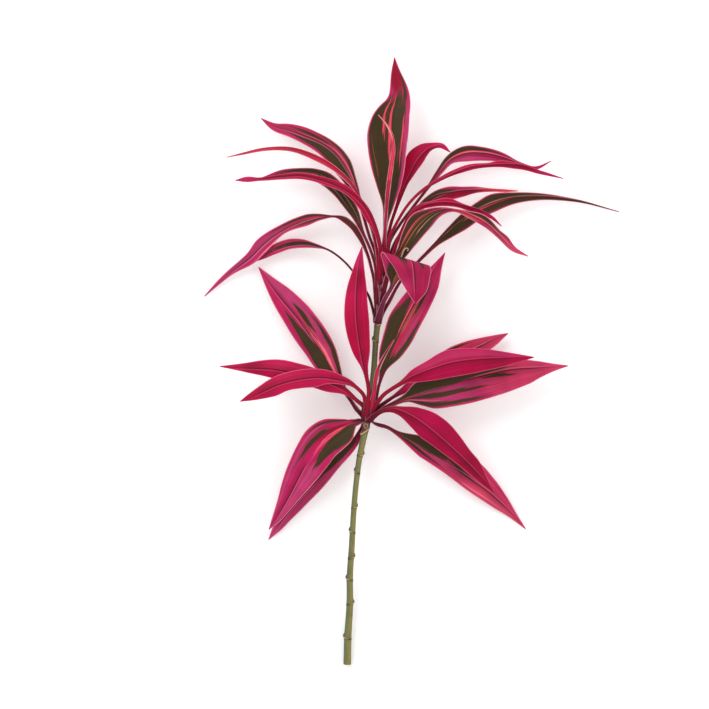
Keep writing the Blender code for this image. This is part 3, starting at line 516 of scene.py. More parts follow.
def clasp_rows(leaf, first, leaving):
    """Rows from the bottom of the sheath to the first row of the free stalk."""
    share, start, side, normal, _ = first
    place, angle = seat_of(leaf)
    way = 1.0 if start.y > place else -1.0
    length = sheath_length(place, way)
    bottom = place - way * length
    reach = SKIN_TO_SHEATH + LAYER_THICKNESS * layers_under(place)
    low_centre, low_right, low_up, low_forward = cane_frame(bottom)
    turn = math.radians(angle)
    outward = low_right * math.cos(turn) + low_up * math.sin(turn)
    low = low_centre + outward * (between(CANE_RADII, bottom) + reach)
    span = (start - low).length
    leave = low_forward * way * span * 1.1
    arrive = leaving * span * 0.9
    rows = []
    for number in range(CLASP_ROWS):
        t = number / CLASP_ROWS
        point = curved(low, start, leave, arrive, t)
        centre, right, up, forward = cane_frame(bottom + way * length * SHEATH_OVERRUN * t)
        tangent = up * math.cos(turn) - right * math.sin(turn)
        sign = 1.0 if tangent.dot(side) >= 0 else -1.0
        spread = sign * math.radians(CLASP_SPREAD) * (1.0 - SPREAD_NARROWS * t)
        radius = between(CANE_RADII, centre.y) + reach + SHEATH_LOOSENS * t
        free = min(1.0, max(0.0, (t - FREE_FROM) / FREE_RUN))
        free = free * free * (3.0 - 2.0 * free)
        rows.append((share * t, point, side, normal, (free, centre, right, up, turn, spread, radius)))
    return rows


print("most layers under a sheath:", max(layers_under(seat_of(leaf)[0]) for leaf in LEAVES.values()))

# %% [markdown]
# ## All the rows of a leaf
# The fine rows of the midrib start at its first listed point, and the sheath's rows go before them.
# Each row keeps its share of the length, so the outline and the pattern are read in the same way all along.

# %% Rows of a leaf


def leaf_rows(leaf):
    """Fine rows of a leaf: share of the length, place, direction across, normal and clasp round the cane."""
    foot, *rest = leaf_line(leaf)
    coarse = [foot] + smooth_route(rest, LEAF_STEPS - 1)
    sides = across_directions(coarse, leaf)
    count = (LEAF_STEPS - 1) * ROWS_A_STEP
    fine = smooth_route(rest, count)
    forwards = directions(fine)
    start = Vector(leaf["route"][0])
    join = min(range(count // 2), key=lambda index: (fine[index] - start).length)
    rows = []
    for index in range(join, count + 1):
        step, part = divmod(index, ROWS_A_STEP)
        side = sides[step + 1].lerp(sides[min(step + 2, LEAF_STEPS)], part / ROWS_A_STEP)
        if "rows_along" not in leaf:
            side = side - forwards[index] * side.dot(forwards[index])
        side.normalize()
        rows.append((index / count, fine[index], side, side.cross(forwards[index]).normalized(), None))
    return clasp_rows(leaf, rows[0], forwards[join]) + rows


print("rows in a leaf:", len(leaf_rows(LEAVES["leaf_lower_01"])))

# %% [markdown]
# ## Nodes with less typing
# A leaf of this plant is painted in streaks that follow its veins, which takes dozens of small sums.
# Small helpers keep that readable: a sum, a mix of two colours, a noise, and two sums that come back often.
# Colours are typed from 0 to 255 and turned into the light values of the renderer.

# %% Colours and sockets


def light(red, green, blue):
    """A colour typed from 0 to 255, as linear light."""
    parts = []
    for value in (red, green, blue):
        value = value / 255
        parts.append(value / 12.92 if value <= 0.04045 else ((value + 0.055) / 1.055) ** 2.4)
    return (*parts, 1.0)


def plug(tree, socket, value):
    """Put a number, a colour or another socket into a socket."""
    if isinstance(value, bpy.types.NodeSocket):
        tree.links.new(value, socket)
    else:
        socket.default_value = value


print("dark olive in light values:", [round(value, 3) for value in light(70, 60, 38)])

# %% Sums and mixes
# Socket numbers of a Mix node that mixes colours
MIX_FACTOR, MIX_UNDER, MIX_OVER, MIX_RESULT = 0, 6, 7, 2


def sum_of(tree, operation, *values, clamp=False):
    """One Math node and its result."""
    maths = tree.nodes.new("ShaderNodeMath")
    maths.operation = operation
    maths.use_clamp = clamp
    for socket, value in zip(maths.inputs, values):
        plug(tree, socket, value)
    return maths.outputs[0]


def above(tree, value, start, gain):
    """How far a value is past a start, made steeper and kept between 0 and 1."""
    return sum_of(tree, "MULTIPLY", sum_of(tree, "SUBTRACT", value, start), gain, clamp=True)


def swayed(tree, value, amount, base, clamp=False):
    """A base value that a noise around one half moves up and down."""
    return sum_of(tree, "MULTIPLY_ADD", sum_of(tree, "SUBTRACT", value, 0.5), amount, base, clamp=clamp)


def blend_of(tree, mask, under, over):
    """One Mix node that lays a colour over another."""
    mix = tree.nodes.new("ShaderNodeMix")
    mix.data_type = "RGBA"
    plug(tree, mix.inputs[MIX_FACTOR], mask)
    plug(tree, mix.inputs[MIX_UNDER], under)
    plug(tree, mix.inputs[MIX_OVER], over)
    return mix.outputs[MIX_RESULT]


def faint_blend(tree, mask, strength, under, over):
    """The same with only a share of the mask."""
    return blend_of(tree, sum_of(tree, "MULTIPLY", mask, strength), under, over)


print("a picked middle grey as light:", round(light(128, 128, 128)[0], 3))

# %% Noise and places


def noise_line(tree, place, scale, detail=2.0):
    """Noise along a line, for things that change along or across a leaf."""
    texture = tree.nodes.new("ShaderNodeTexNoise")
    texture.noise_dimensions = "1D"
    plug(tree, texture.inputs["W"], place)
    texture.inputs["Scale"].default_value = scale
    texture.inputs["Detail"].default_value = detail
    return texture.outputs["Fac"]


def noise_in(tree, place, scale, detail=2.0):
    """Noise in space, for patches and fibres."""
    texture = tree.nodes.new("ShaderNodeTexNoise")
    plug(tree, texture.inputs["Vector"], place)
    texture.inputs["Scale"].default_value = scale
    texture.inputs["Detail"].default_value = detail
    return texture.outputs["Fac"]


def own_place(tree):
    """Where a point is in the piece's own coordinates."""
    return tree.nodes.new("ShaderNodeTexCoord").outputs["Object"]


def attribute(tree, name):
    """A number that the mesh carries at every vertex."""
    node = tree.nodes.new("ShaderNodeAttribute")
    node.attribute_name = name
    return node.outputs["Fac"]


print("kinds of noise: along a line and in space")

# %% Groups and materials
BUMP_DISTANCE = 0.0004


def new_group(name, inputs, outputs):
    """A node group with named float or colour sockets, and its first and last nodes."""
    group = bpy.data.node_groups.new(name, "ShaderNodeTree")
    for label, value in inputs:
        kind = "NodeSocketColor" if isinstance(value, tuple) else "NodeSocketFloat"
        socket = group.interface.new_socket(label, in_out="INPUT", socket_type=kind)
        socket.default_value = value
    for label, kind in outputs:
        group.interface.new_socket(label, in_out="OUTPUT", socket_type=kind)
    return group, group.nodes.new("NodeGroupInput").outputs, group.nodes.new("NodeGroupOutput").inputs


def use_group(tree, group, values):
    """Place a group in a tree and give it its values by name."""
    node = tree.nodes.new("ShaderNodeGroup")
    node.node_tree = group
    for label, value in values.items():
        plug(tree, node.inputs[label], value)
    return node.outputs


def new_material(name):
    """A material, its node tree and its shader."""
    material = bpy.data.materials.new(name)
    material.use_nodes = True
    return material, material.node_tree, material.node_tree.nodes["Principled BSDF"]


def bumpy(tree, shader, height, strength):
    """Raise the surface a little where the height is greater."""
    bump = tree.nodes.new("ShaderNodeBump")
    bump.inputs["Strength"].default_value = strength
    bump.inputs["Distance"].default_value = BUMP_DISTANCE
    plug(tree, bump.inputs["Height"], height)
    plug(tree, shader.inputs["Normal"], bump.outputs[0])


print("deepest bump:", BUMP_DISTANCE / MM, "mm")

# %% [markdown]
# ## A streak
# The colours of a leaf lie in long streaks between its veins, blunt or ragged where they end.
# An image could carry them, but a formula stays sharp at any size.
# Each streak is a band round a line that runs from one share of the width to another.
# Noise across the veins frays its ends, and a slower noise along the leaf makes its line wander.

# %% Streak group
FRAY_SCALE = 24.0
WANDER_SCALE = 11.0
WANDER = 0.07
STREAK_RISE = 0.12
STREAK_TAPER = 0.75
streak, take, give = new_group("leaf_streak", [
    ("Across", 0.0), ("Along", 0.0), ("From", 0.0), ("To", 0.0), ("Half width", 0.1), ("Start", 0.0),
    ("End", 1.0), ("Fall", 0.5), ("Ragged", 0.15), ("Softness", 0.05), ("Seed", 0.0),
], [("Mask", "NodeSocketFloat")])
vein = noise_line(streak, sum_of(streak, "ADD", take["Across"], take["Seed"]), FRAY_SCALE)
frayed = swayed(streak, vein, take["Ragged"], take["Along"])
run = sum_of(streak, "SUBTRACT", take["End"], take["Start"])
share = sum_of(streak, "DIVIDE", sum_of(streak, "SUBTRACT", frayed, take["Start"]), run)
inside = sum_of(streak, "MULTIPLY", share, 1.0, clamp=True)
drift = sum_of(streak, "MULTIPLY", sum_of(streak, "SUBTRACT", take["To"], take["From"]), inside)
wander = noise_line(streak, sum_of(streak, "MULTIPLY_ADD", take["Seed"], 3.0, take["Along"]), WANDER_SCALE)
middle = swayed(streak, wander, WANDER, sum_of(streak, "ADD", take["From"], drift))
rise = sum_of(streak, "DIVIDE", share, STREAK_RISE, clamp=True)
fall = sum_of(streak, "DIVIDE", sum_of(streak, "SUBTRACT", 1.0, share), take["Fall"], clamp=True)
fall = sum_of(streak, "POWER", fall, STREAK_TAPER)
reach = sum_of(streak, "MULTIPLY", take["Half width"], sum_of(streak, "MINIMUM", rise, fall))
away = sum_of(streak, "ABSOLUTE", sum_of(streak, "SUBTRACT", take["Across"], middle))
edge = sum_of(streak, "DIVIDE", sum_of(streak, "SUBTRACT", reach, away), take["Softness"])
plug(streak, give["Mask"], sum_of(streak, "ADD", edge, 0.0, clamp=True))
print("streak group nodes:", len(streak.nodes))

# %% [markdown]
# ## What every leaf surface shares
# Under the paint each leaf has fine parallel veins, broader plies and a slightly uneven tone.
# They are the same effect with other values on both sides of the leaf, so they go in one group.
# The group is filled in four short steps: the tone, the stalk, the midrib and the margin, with painted shade on
# the stalk, a painted shadow and highlight by the midrib and a painted highlight on the margin.

# %% Leaf skin group: tone
VEINS_ACROSS = 42.0
PLIES_ACROSS = 6.0
TONES_ALONG = 7.0
# Its pale highlight colour is painted along the margin and beside the midrib.
skin, take, give = new_group("leaf_skin", [
    ("Colour", light(200, 45, 105)), ("Across", 0.0), ("Along", 0.0), ("Side", 0.0), ("Edge", 5.0),
    ("Stalk", 0.0), ("Clasp", 0.0), ("Midrib", light(70, 0, 25)), ("Midrib from", 0.0),
    ("Margin", light(246, 168, 184)), ("Painted highlight strength", 0.6), ("Stalk colour", light(150, 15, 45)),
    ("Seed", 0.0),
], [("Colour", "NodeSocketColor"), ("Roughness", "NodeSocketFloat"), ("Height", "NodeSocketFloat")])
over_width = sum_of(skin, "ADD", take["Across"], take["Seed"])
over_length = sum_of(skin, "ADD", take["Along"], take["Seed"])
veins = noise_line(skin, over_width, VEINS_ACROSS, 1.0)
plies = noise_line(skin, over_width, PLIES_ACROSS, 1.0)
slow = noise_line(skin, over_length, TONES_ALONG)
tone = 1.0
for texture, amount in ((veins, 0.4), (plies, 0.5), (slow, 0.4)):
    tone = swayed(skin, texture, amount, tone)
shade = skin.nodes.new("ShaderNodeHueSaturation")
plug(skin, shade.inputs["Color"], take["Colour"])
plug(skin, shade.inputs["Value"], tone)
print("skin group nodes with its tone:", len(skin.nodes))

# %% [markdown]
# ## The stalk in the skin
# A stalk is one deep red. It is darker where it clasps the cane, partly its own colour and partly painted shade
# among the crowded sheaths. Painted shade darkens it towards its two edges, where stalks overlap.

# %% Leaf skin group: stalk
across_size = sum_of(skin, "ABSOLUTE", take["Across"])
# Darker where it clasps the cane: partly the sheath's own colour, partly painted shade
stalk = faint_blend(skin, take["Clasp"], 0.9, take["Stalk colour"], light(68, 8, 28))
# Painted shade towards the stalk's two edges, where stalks overlap
stalk = blend_of(skin, above(skin, across_size, 0.25, 1.5), stalk, light(40, 2, 16))
colour = blend_of(skin, take["Stalk"], shade.outputs[0], stalk)
print("skin group nodes with its stalk:", len(skin.nodes))

# %% [markdown]
# ## The midrib in the skin
# The midrib is a dark groove. A painted soft shadow lies on one side of it and a painted pale highlight on the
# other.
# All three are left off the stalk and fade before the tip.

# %% Leaf skin group: midrib
# Places and half widths of the painted shadow and the painted highlight beside the midrib, in mm
SHADOW_AT = 1.5
SHADOW_REACH = 6.5
RIB_HIGHLIGHT_AT = -2.0
RIB_HIGHLIGHT_REACH = 1.1
rib = sum_of(skin, "MULTIPLY", sum_of(skin, "ABSOLUTE", take["Side"]), 1.15)
rib = sum_of(skin, "SUBTRACT", 1.3, rib, clamp=True)


def band_beside_rib(middle_mm, reach_mm):
    """A soft band along the leaf, at a distance to one side of the midrib."""
    away_mm = sum_of(skin, "ABSOLUTE", sum_of(skin, "SUBTRACT", take["Side"], middle_mm))
    return sum_of(skin, "SUBTRACT", 1.0, sum_of(skin, "DIVIDE", away_mm, reach_mm), clamp=True)


rib_start = above(skin, take["Along"], take["Midrib from"], 12.0)
rib_end = sum_of(skin, "MULTIPLY", sum_of(skin, "SUBTRACT", 0.97, take["Along"]), 6.0, clamp=True)
rib_run = sum_of(skin, "MULTIPLY", rib_start, rib_end)
blade_only = sum_of(skin, "MULTIPLY", rib_run, sum_of(skin, "SUBTRACT", 1.0, take["Stalk"]))
# Painted shadow on one side of the midrib and a painted highlight on the other
painted_rib_shadow = sum_of(skin, "MULTIPLY", band_beside_rib(SHADOW_AT, SHADOW_REACH), blade_only)
painted_rib_highlight = sum_of(skin, "MULTIPLY", band_beside_rib(RIB_HIGHLIGHT_AT, RIB_HIGHLIGHT_REACH), blade_only)
rib = sum_of(skin, "MULTIPLY", rib, blade_only)
colour = faint_blend(skin, painted_rib_shadow, 0.34, colour, take["Midrib"])
colour = faint_blend(skin, painted_rib_highlight, 0.22, colour, take["Margin"])
colour = faint_blend(skin, rib, 0.9, colour, take["Midrib"])
print("skin group nodes with its midrib:", len(skin.nodes))

# %% [markdown]
# ## The painted highlight on the margin
# A thin painted highlight follows the margin.
# It breaks up along the leaf and fades where the stalk clasps the cane.
# The veins raise the surface a little, and the midrib sinks into it.

# %% Leaf skin group: painted margin highlight and results
OUTER_FROM = 0.72
GLINTS_ALONG = 9.0
# Painted highlight: a thin pale line along the margin, broken up along the leaf.
margin = sum_of(skin, "SUBTRACT", 1.7, sum_of(skin, "MULTIPLY", take["Edge"], 1.3), clamp=True)
margin = sum_of(skin, "MINIMUM", margin, above(skin, across_size, OUTER_FROM, 5.0))
glint = noise_line(skin, sum_of(skin, "MULTIPLY_ADD", take["Across"], 5.0, over_length), GLINTS_ALONG)
margin = sum_of(skin, "MULTIPLY", margin, above(skin, glint, 0.32, 3.0))
margin = sum_of(skin, "MULTIPLY", margin, take["Painted highlight strength"])
margin = sum_of(skin, "MULTIPLY", margin, sum_of(skin, "MULTIPLY_ADD", take["Clasp"], -0.55, 1.0))
plug(skin, give["Colour"], blend_of(skin, margin, colour, take["Margin"]))
plug(skin, give["Roughness"], sum_of(skin, "MULTIPLY_ADD", veins, 0.14, 0.4))
groove = sum_of(skin, "MULTIPLY", rib, -1.5)
plug(skin, give["Height"], sum_of(skin, "ADD", sum_of(skin, "ADD", veins, plies), groove))
print("skin group nodes:", len(skin.nodes))

# %% [markdown]
# ## The paints and the pattern of each leaf
# Seen on the real plant: dark olive bands next to the midrib, coral lines on their edges, lavender between
# them, and magenta margins and tips. Every leaf has them in other places, so each pattern is a short list
# of streaks. One streak is its paint, its place across at its start and at its end, its half width, the
# shares of the leaf's length where it starts and ends, and how slowly it runs out.

# %% Paints and patterns
PAINTS = {
    "dark": light(62, 48, 26),
    "coral": light(220, 66, 88),
    "lavender": light(182, 56, 104),
    "magenta": light(182, 28, 86),
    "crimson": light(150, 2, 44),
    "red": light(182, 12, 52),
    "mauve": light(172, 44, 82),
    "blush": light(196, 52, 92),
    # rose is partly a pale pink of the leaf and partly a painted highlight
    "rose": light(236, 120, 142),
    "tan": light(160, 86, 58),
    "plum": light(156, 56, 100),
    "peach": light(212, 72, 100),
    # cream is a painted highlight, in thin lines and on one leaf's tip
    "cream": light(238, 176, 160),
}
# Width of the soft edge that some paints have, as a share of half the leaf
SOFT_PAINTS = {
    "lavender": 0.3, "magenta": 0.3, "crimson": 0.2, "blush": 0.6, "mauve": 0.3, "plum": 0.2, "peach": 0.6}
PATTERNS = {
    "leaf_lower_01": [
        ("lavender", 0.5, 0.5, 0.5, 0.2, 1.1, 0.2), ("rose", 0.3, 0.12, 0.16, 0.05, 0.6, 0.6),
        ("dark", -0.3, -0.44, 0.52, 0.03, 0.74, 0.6), ("dark", 0.72, 0.8, 0.2, 0.1, 0.62, 0.5),
        ("dark", 0.26, 0.46, 0.17, 0.5, 0.74, 0.4), ("dark", 0.7, 0.78, 0.04, 0.5, 0.8, 0.5),
        ("coral", 0.24, -0.06, 0.06, 0.1, 0.76, 0.4), ("coral", 0.44, 0.14, 0.06, 0.1, 0.76, 0.4),
        ("crimson", 0.34, 0.04, 0.03, 0.1, 0.7, 0.4), ("cream", 0.2, -0.04, 0.02, 0.1, 0.72, 0.4),
        ("crimson", 0.5, 0.4, 0.03, 0.1, 0.7, 0.4)],
    "leaf_lower_05": [
        ("mauve", 0.35, 0.62, 0.34, 0.24, 0.9, 0.5), ("lavender", 0.5, 0.7, 0.12, 0.34, 0.8, 0.5),
        ("dark", -0.25, -0.52, 0.52, 0.02, 0.69, 0.3), ("dark", 0.3, 0.3, 0.6, 0.0, 0.33, 0.3),
        ("dark", 0.62, 0.86, 0.24, 0.05, 0.62, 0.6), ("dark", 0.3, 0.32, 0.13, 0.56, 0.8, 0.5),
        ("red", 0.26, 0.24, 0.08, 0.26, 0.6, 0.5), ("tan", 0.12, 0.12, 0.09, 0.44, 0.74, 0.5),
        ("coral", -0.02, -0.16, 0.07, 0.42, 0.74, 0.5), ("coral", 0.22, 0.2, 0.04, 0.42, 0.78, 0.5),
        ("dark", 0.45, 0.66, 0.03, 0.5, 0.76, 0.5), ("dark", 0.05, -0.06, 0.03, 0.3, 0.76, 0.5),
        ("crimson", 0.4, 0.5, 0.03, 0.3, 0.7, 0.5)],
    "leaf_lower_06": [
        ("blush", 0.0, 0.0, 1.6, 0.2, 1.5, 0.2), ("dark", -0.85, -0.72, 0.12, 0.55, 0.77, 0.7),
        ("rose", -0.3, 0.0, 0.04, 0.6, 0.95, 0.6), ("crimson", 0.4, 0.1, 0.06, 0.4, 0.9, 0.6)],
    "leaf_lower_08": [
        ("blush", 0.0, 0.0, 1.7, 0.5, 1.6, 0.2), ("plum", 0.1, 0.3, 0.2, 0.2, 0.72, 0.5),
        ("plum", 0.5, 0.75, 0.16, 0.15, 0.75, 0.5), ("dark", -0.6, -0.25, 0.48, 0.0, 0.72, 0.5),
        ("dark", 0.15, 0.5, 0.16, 0.06, 0.66, 0.6), ("dark", 0.68, 0.9, 0.15, 0.06, 0.64, 0.6),
        ("dark", 0.0, 0.28, 0.1, 0.54, 0.76, 0.4), ("rose", 0.42, 0.6, 0.05, 0.04, 0.38, 0.6),
        ("crimson", 0.3, 0.5, 0.03, 0.3, 0.8, 0.5), ("dark", 0.32, 0.58, 0.02, 0.2, 0.7, 0.6),
        ("cream", -0.12, 0.0, 0.02, 0.1, 0.5, 0.5)],
    "leaf_lower_10": [
        ("blush", 0.3, 0.3, 1.6, 0.35, 1.6, 0.2), ("lavender", 0.15, 0.3, 0.4, 0.2, 0.68, 0.5),
        ("peach", 0.5, 0.5, 0.5, 0.52, 1.2, 0.5), ("rose", 0.7, 0.6, 0.06, 0.54, 0.9, 0.5),
        ("dark", -0.55, -0.2, 0.5, 0.04, 0.46, 0.35), ("dark", 0.2, 0.68, 0.3, 0.06, 0.47, 0.9),
        ("dark", -0.3, 0.08, 0.13, 0.42, 0.65, 0.6), ("dark", -0.02, -0.04, 0.025, 0.3, 0.56, 0.6),
        ("crimson", 0.12, 0.2, 0.03, 0.26, 0.6, 0.6), ("dark", 0.1, 0.5, 0.03, 0.4, 0.62, 0.6),
        ("cream", 0.02, 0.0, 0.02, 0.1, 0.4, 0.5)],
    "leaf_lower_11": [
        ("lavender", -0.5, -0.5, 0.5, 0.38, 1.3, 0.2), ("crimson", 0.2, 0.3, 0.24, 0.04, 0.4, 0.4),
        ("lavender", 0.7, 0.7, 0.3, 0.15, 1.3, 0.3),
        ("dark", -0.45, -0.5, 0.46, 0.0, 0.5, 0.7), ("dark", 0.36, 0.5, 0.14, 0.2, 0.52, 0.5),
        ("dark", 0.74, 0.84, 0.12, 0.0, 0.36, 0.6), ("dark", 0.2, 0.65, 0.05, 0.08, 0.58, 0.6),
        ("dark", 0.6, 0.72, 0.03, 0.2, 0.6, 0.6),
        ("coral", 0.04, -0.12, 0.1, 0.08, 0.46, 0.5), ("rose", 0.12, -0.04, 0.03, 0.1, 0.44, 0.5),
        ("crimson", 0.02, -0.16, 0.02, 0.2, 0.46, 0.5), ("dark", 0.34, 0.3, 0.03, 0.3, 0.7, 0.6)],
    "leaf_lower_12": [
        ("lavender", 0.0, 0.0, 1.8, 0.1, 1.6, 0.2), ("dark", 0.35, 0.1, 0.6, 0.0, 0.56, 0.6)],
    "leaf_upper_01": [
        ("crimson", 0.0, 0.0, 1.0, 0.79, 1.4, 0.05), ("lavender", 0.85, 0.85, 0.25, 0.1, 0.85, 0.2),
        ("dark", -0.42, -0.45, 0.5, 0.05, 0.81, 0.1), ("dark", 0.36, 0.32, 0.46, 0.05, 0.83, 0.1),
        ("dark", 0.62, 0.95, 0.14, 0.76, 0.98, 0.6), ("coral", 0.05, 0.06, 0.09, 0.42, 0.83, 0.5),
        ("coral", -0.18, -0.54, 0.08, 0.56, 0.83, 0.4), ("crimson", -0.08, -0.2, 0.05, 0.5, 0.82, 0.4),
        ("tan", -0.62, -0.84, 0.03, 0.32, 0.62, 0.5), ("coral", 0.66, 0.74, 0.06, 0.4, 0.76, 0.5),
        ("lavender", 0.52, 0.56, 0.08, 0.42, 0.55, 0.4)],
    "leaf_upper_03": [
        ("mauve", 0.2, 0.2, 0.7, 0.3, 1.4, 0.2),
        ("dark", -0.5, -0.42, 0.42, 0.26, 0.88, 0.4), ("dark", 0.66, 0.82, 0.28, 0.26, 0.74, 0.5),
        ("dark", 0.36, 0.6, 0.18, 0.64, 0.87, 0.4),
        ("rose", 0.36, 0.16, 0.08, 0.36, 0.86, 0.6), ("coral", 0.1, -0.02, 0.05, 0.36, 0.86, 0.6),
        ("cream", -0.04, 0.02, 0.03, 0.3, 0.95, 0.6), ("dark", 0.08, 0.06, 0.02, 0.4, 0.85, 0.6)],
    "leaf_upper_04": [
        ("red", 0.0, 0.0, 1.4, 0.1, 1.5, 0.2), ("crimson", 0.5, 0.6, 0.3, 0.1, 1.2, 0.3)],
    "leaf_upper_06": [
        ("dark", 0.0, 0.0, 0.88, 0.2, 0.95, 0.2), ("rose", 0.1, 0.0, 0.1, 0.66, 0.97, 0.5),
        ("crimson", 0.15, 0.1, 0.04, 0.3, 0.6, 0.5), ("cream", 0.35, 0.3, 0.03, 0.3, 0.9, 0.5)],
    "leaf_upper_07": [
        ("dark", 0.0, 0.0, 0.8, 0.15, 0.42, 0.2), ("dark", 0.6, 0.7, 0.26, 0.3, 0.68, 0.5),
        ("dark", -0.35, -0.2, 0.38, 0.32, 0.62, 0.5), ("coral", 0.1, -0.25, 0.12, 0.42, 0.62, 0.6),
        ("rose", -0.9, -0.8, 0.1, 0.62, 0.76, 0.5), ("lavender", 0.2, 0.2, 0.7, 0.56, 1.4, 0.3),
        ("cream", -0.05, -0.12, 0.04, 0.4, 0.8, 0.5), ("dark", 0.1, -0.02, 0.03, 0.44, 0.74, 0.5)],
    "leaf_upper_08": [
        ("mauve", 0.6, 0.6, 0.4, 0.55, 1.2, 0.3), ("dark", -0.25, 0.2, 0.56, 0.2, 0.94, 0.4),
        ("cream", -0.2, 0.3, 0.04, 0.6, 0.98, 0.5)],
    "leaf_upper_09": [
        ("lavender", 0.6, 0.6, 0.4, 0.38, 0.78, 0.4), ("dark", -0.6, -0.6, 0.4, 0.2, 0.79, 0.4),
        ("dark", 0.24, 0.42, 0.08, 0.58, 0.79, 0.5), ("coral", -0.1, -0.4, 0.12, 0.44, 0.86, 0.5),
        ("cream", -0.02, -0.3, 0.03, 0.44, 0.86, 0.5)],
    "leaf_upper_11": [
        ("coral", 0.0, 0.0, 1.2, 0.72, 1.4, 0.2), ("crimson", 0.3, 0.4, 0.6, 0.55, 0.82, 0.4),
        ("dark", 0.0, -0.3, 0.74, 0.2, 0.66, 0.3), ("coral", 0.5, -0.42, 0.09, 0.44, 0.72, 0.5)],
    # The tan streak on this leaf's stalk is a painted highlight.
    "leaf_upper_12": [
        ("dark", 0.0, 0.0, 0.88, 0.15, 1.1, 0.05), ("coral", 0.18, -0.2, 0.12, 0.42, 0.78, 0.6),
        ("coral", -0.5, -0.1, 0.08, 0.7, 0.98, 0.5),
        ("magenta", 0.9, 0.95, 0.2, 0.48, 0.66, 0.4), ("tan", 0.2, 0.6, 0.12, 0.18, 0.34, 0.5),
        ("cream", 0.05, -0.3, 0.03, 0.3, 0.8, 0.5)],
    "leaf_upper_14": [
        ("dark", 0.38, 0.35, 0.56, 0.0, 0.57, 0.25), ("dark", -0.5, -0.5, 0.42, 0.05, 0.5, 0.3),
        ("coral", 0.0, 0.0, 0.85, 0.54, 0.74, 0.4), ("dark", -0.62, -0.7, 0.3, 0.6, 0.88, 0.4),
        ("tan", 0.28, 0.1, 0.06, 0.15, 0.52, 0.5), ("coral", -0.3, -0.2, 0.1, 0.1, 0.5, 0.5),
        ("tan", -0.1, -0.06, 0.06, 0.1, 0.5, 0.5), ("cream", 0.5, 0.3, 0.03, 0.3, 0.56, 0.5),
        ("peach", 0.2, 0.2, 1.0, 0.7, 1.4, 0.3)],
    "leaf_upper_15": [
        ("lavender", -0.9, -0.9, 0.2, 0.1, 0.7, 0.3), ("dark", -0.5, -0.52, 0.36, 0.15, 0.56, 0.3),
        ("tan", 0.1, 0.1, 0.4, 0.15, 0.52, 0.4), ("dark", -0.1, -0.1, 0.05, 0.2, 0.56, 0.5)],
    "leaf_upper_16": [
        ("red", 0.0, 0.0, 1.2, 0.1, 1.4, 0.2), ("coral", 0.0, 0.0, 0.5, 0.3, 1.3, 0.3),
        ("red", 0.0, 0.0, 1.2, 0.0, 0.36, 0.8), ("cream", -0.35, -0.35, 0.6, 0.79, 1.4, 0.2)],
}
# The leaves that lie with their undersides up share one pattern on the side that faces down
HIDDEN_PATTERN = [
    ("lavender", 0.5, 0.5, 0.4, 0.2, 0.95, 0.4), ("dark", -0.42, -0.5, 0.4, 0.05, 0.7, 0.5),
    ("dark", 0.6, 0.72, 0.22, 0.08, 0.62, 0.5), ("coral", 0.04, -0.06, 0.06, 0.15, 0.7, 0.5)]
print("patterned leaves:", len(PATTERNS))

# %% [markdown]
# ## The upper side
# The patterned side starts as magenta, takes its streaks one after another and then the shared skin.
# The ends of dark streaks are more ragged than those of the others, and some paints have soft edges.

# %% Upper side finish
SHARP_EDGE = 0.04
RAGGED = {"dark": 0.24}
RAGGED_OTHERS = 0.14
STREAK_SEED_STEP = 1.7
STALK = light(122, 14, 42)


def leaf_places(tree):
    """The numbers that say where a point lies on its leaf."""
    return {"Across": attribute(tree, "across"), "Along": attribute(tree, "along"),
            "Side": attribute(tree, "side_mm"), "Edge": attribute(tree, "edge_mm"),
            "Stalk": attribute(tree, "stalk"), "Clasp": attribute(tree, "clasp")}


def finish_leaf(tree, shader, colour, places, values):
    """Send a painted colour through the shared skin to the material's shader."""
    done = use_group(tree, skin, {"Colour": colour, **places, **values})
    plug(tree, shader.inputs["Base Color"], done["Colour"])
    plug(tree, shader.inputs["Roughness"], done["Roughness"])
    bumpy(tree, shader, done["Height"], 0.35)
    shader.inputs["Specular IOR Level"].default_value = 0.12


def paint_streaks(tree, colour, places, pattern, seed):
    """Lay the streaks of a pattern over a colour, one after another."""
    for number, (paint, start_at, end_at, half, start, end, fall) in enumerate(pattern):
        mask = use_group(tree, streak, {
            "Across": places["Across"], "Along": places["Along"], "From": start_at, "To": end_at,
            "Half width": half, "Start": start, "End": end, "Fall": fall,
            "Ragged": RAGGED.get(paint, RAGGED_OTHERS), "Softness": SOFT_PAINTS.get(paint, SHARP_EDGE),
            "Seed": seed + number * STREAK_SEED_STEP})["Mask"]
        colour = blend_of(tree, mask, colour, PAINTS[paint])
    return colour


def patterned_finish(name, pattern, seed, stalk_colour, rib_from=0.45):
    """The upper side of a leaf with its own streaks."""
    material, tree, shader = new_material(name)
    places = leaf_places(tree)
    painted = paint_streaks(tree, PAINTS["magenta"], places, pattern, seed)
    # Its margin takes a strong painted highlight.
    finish_leaf(tree, shader, painted, places, {
        "Seed": seed, "Midrib": light(58, 8, 26), "Midrib from": rib_from, "Stalk colour": stalk_colour,
        "Painted highlight strength": 0.95})
    return material


HIDDEN_SIDE = patterned_finish("leaf_pattern_facing_down", HIDDEN_PATTERN, 2.0, STALK)
print("nodes in a patterned finish:", len(HIDDEN_SIDE.node_tree.nodes))

# %% [markdown]
# ## The underside
# The underside is crimson in two near shades, with the same veins.
# Most leaves share one finish. A few have a brighter one with painted highlights, a rosier or deeper one, a
# half painted paler as if lit on one side of the keel, or dark spots.

# %% Underside finishes


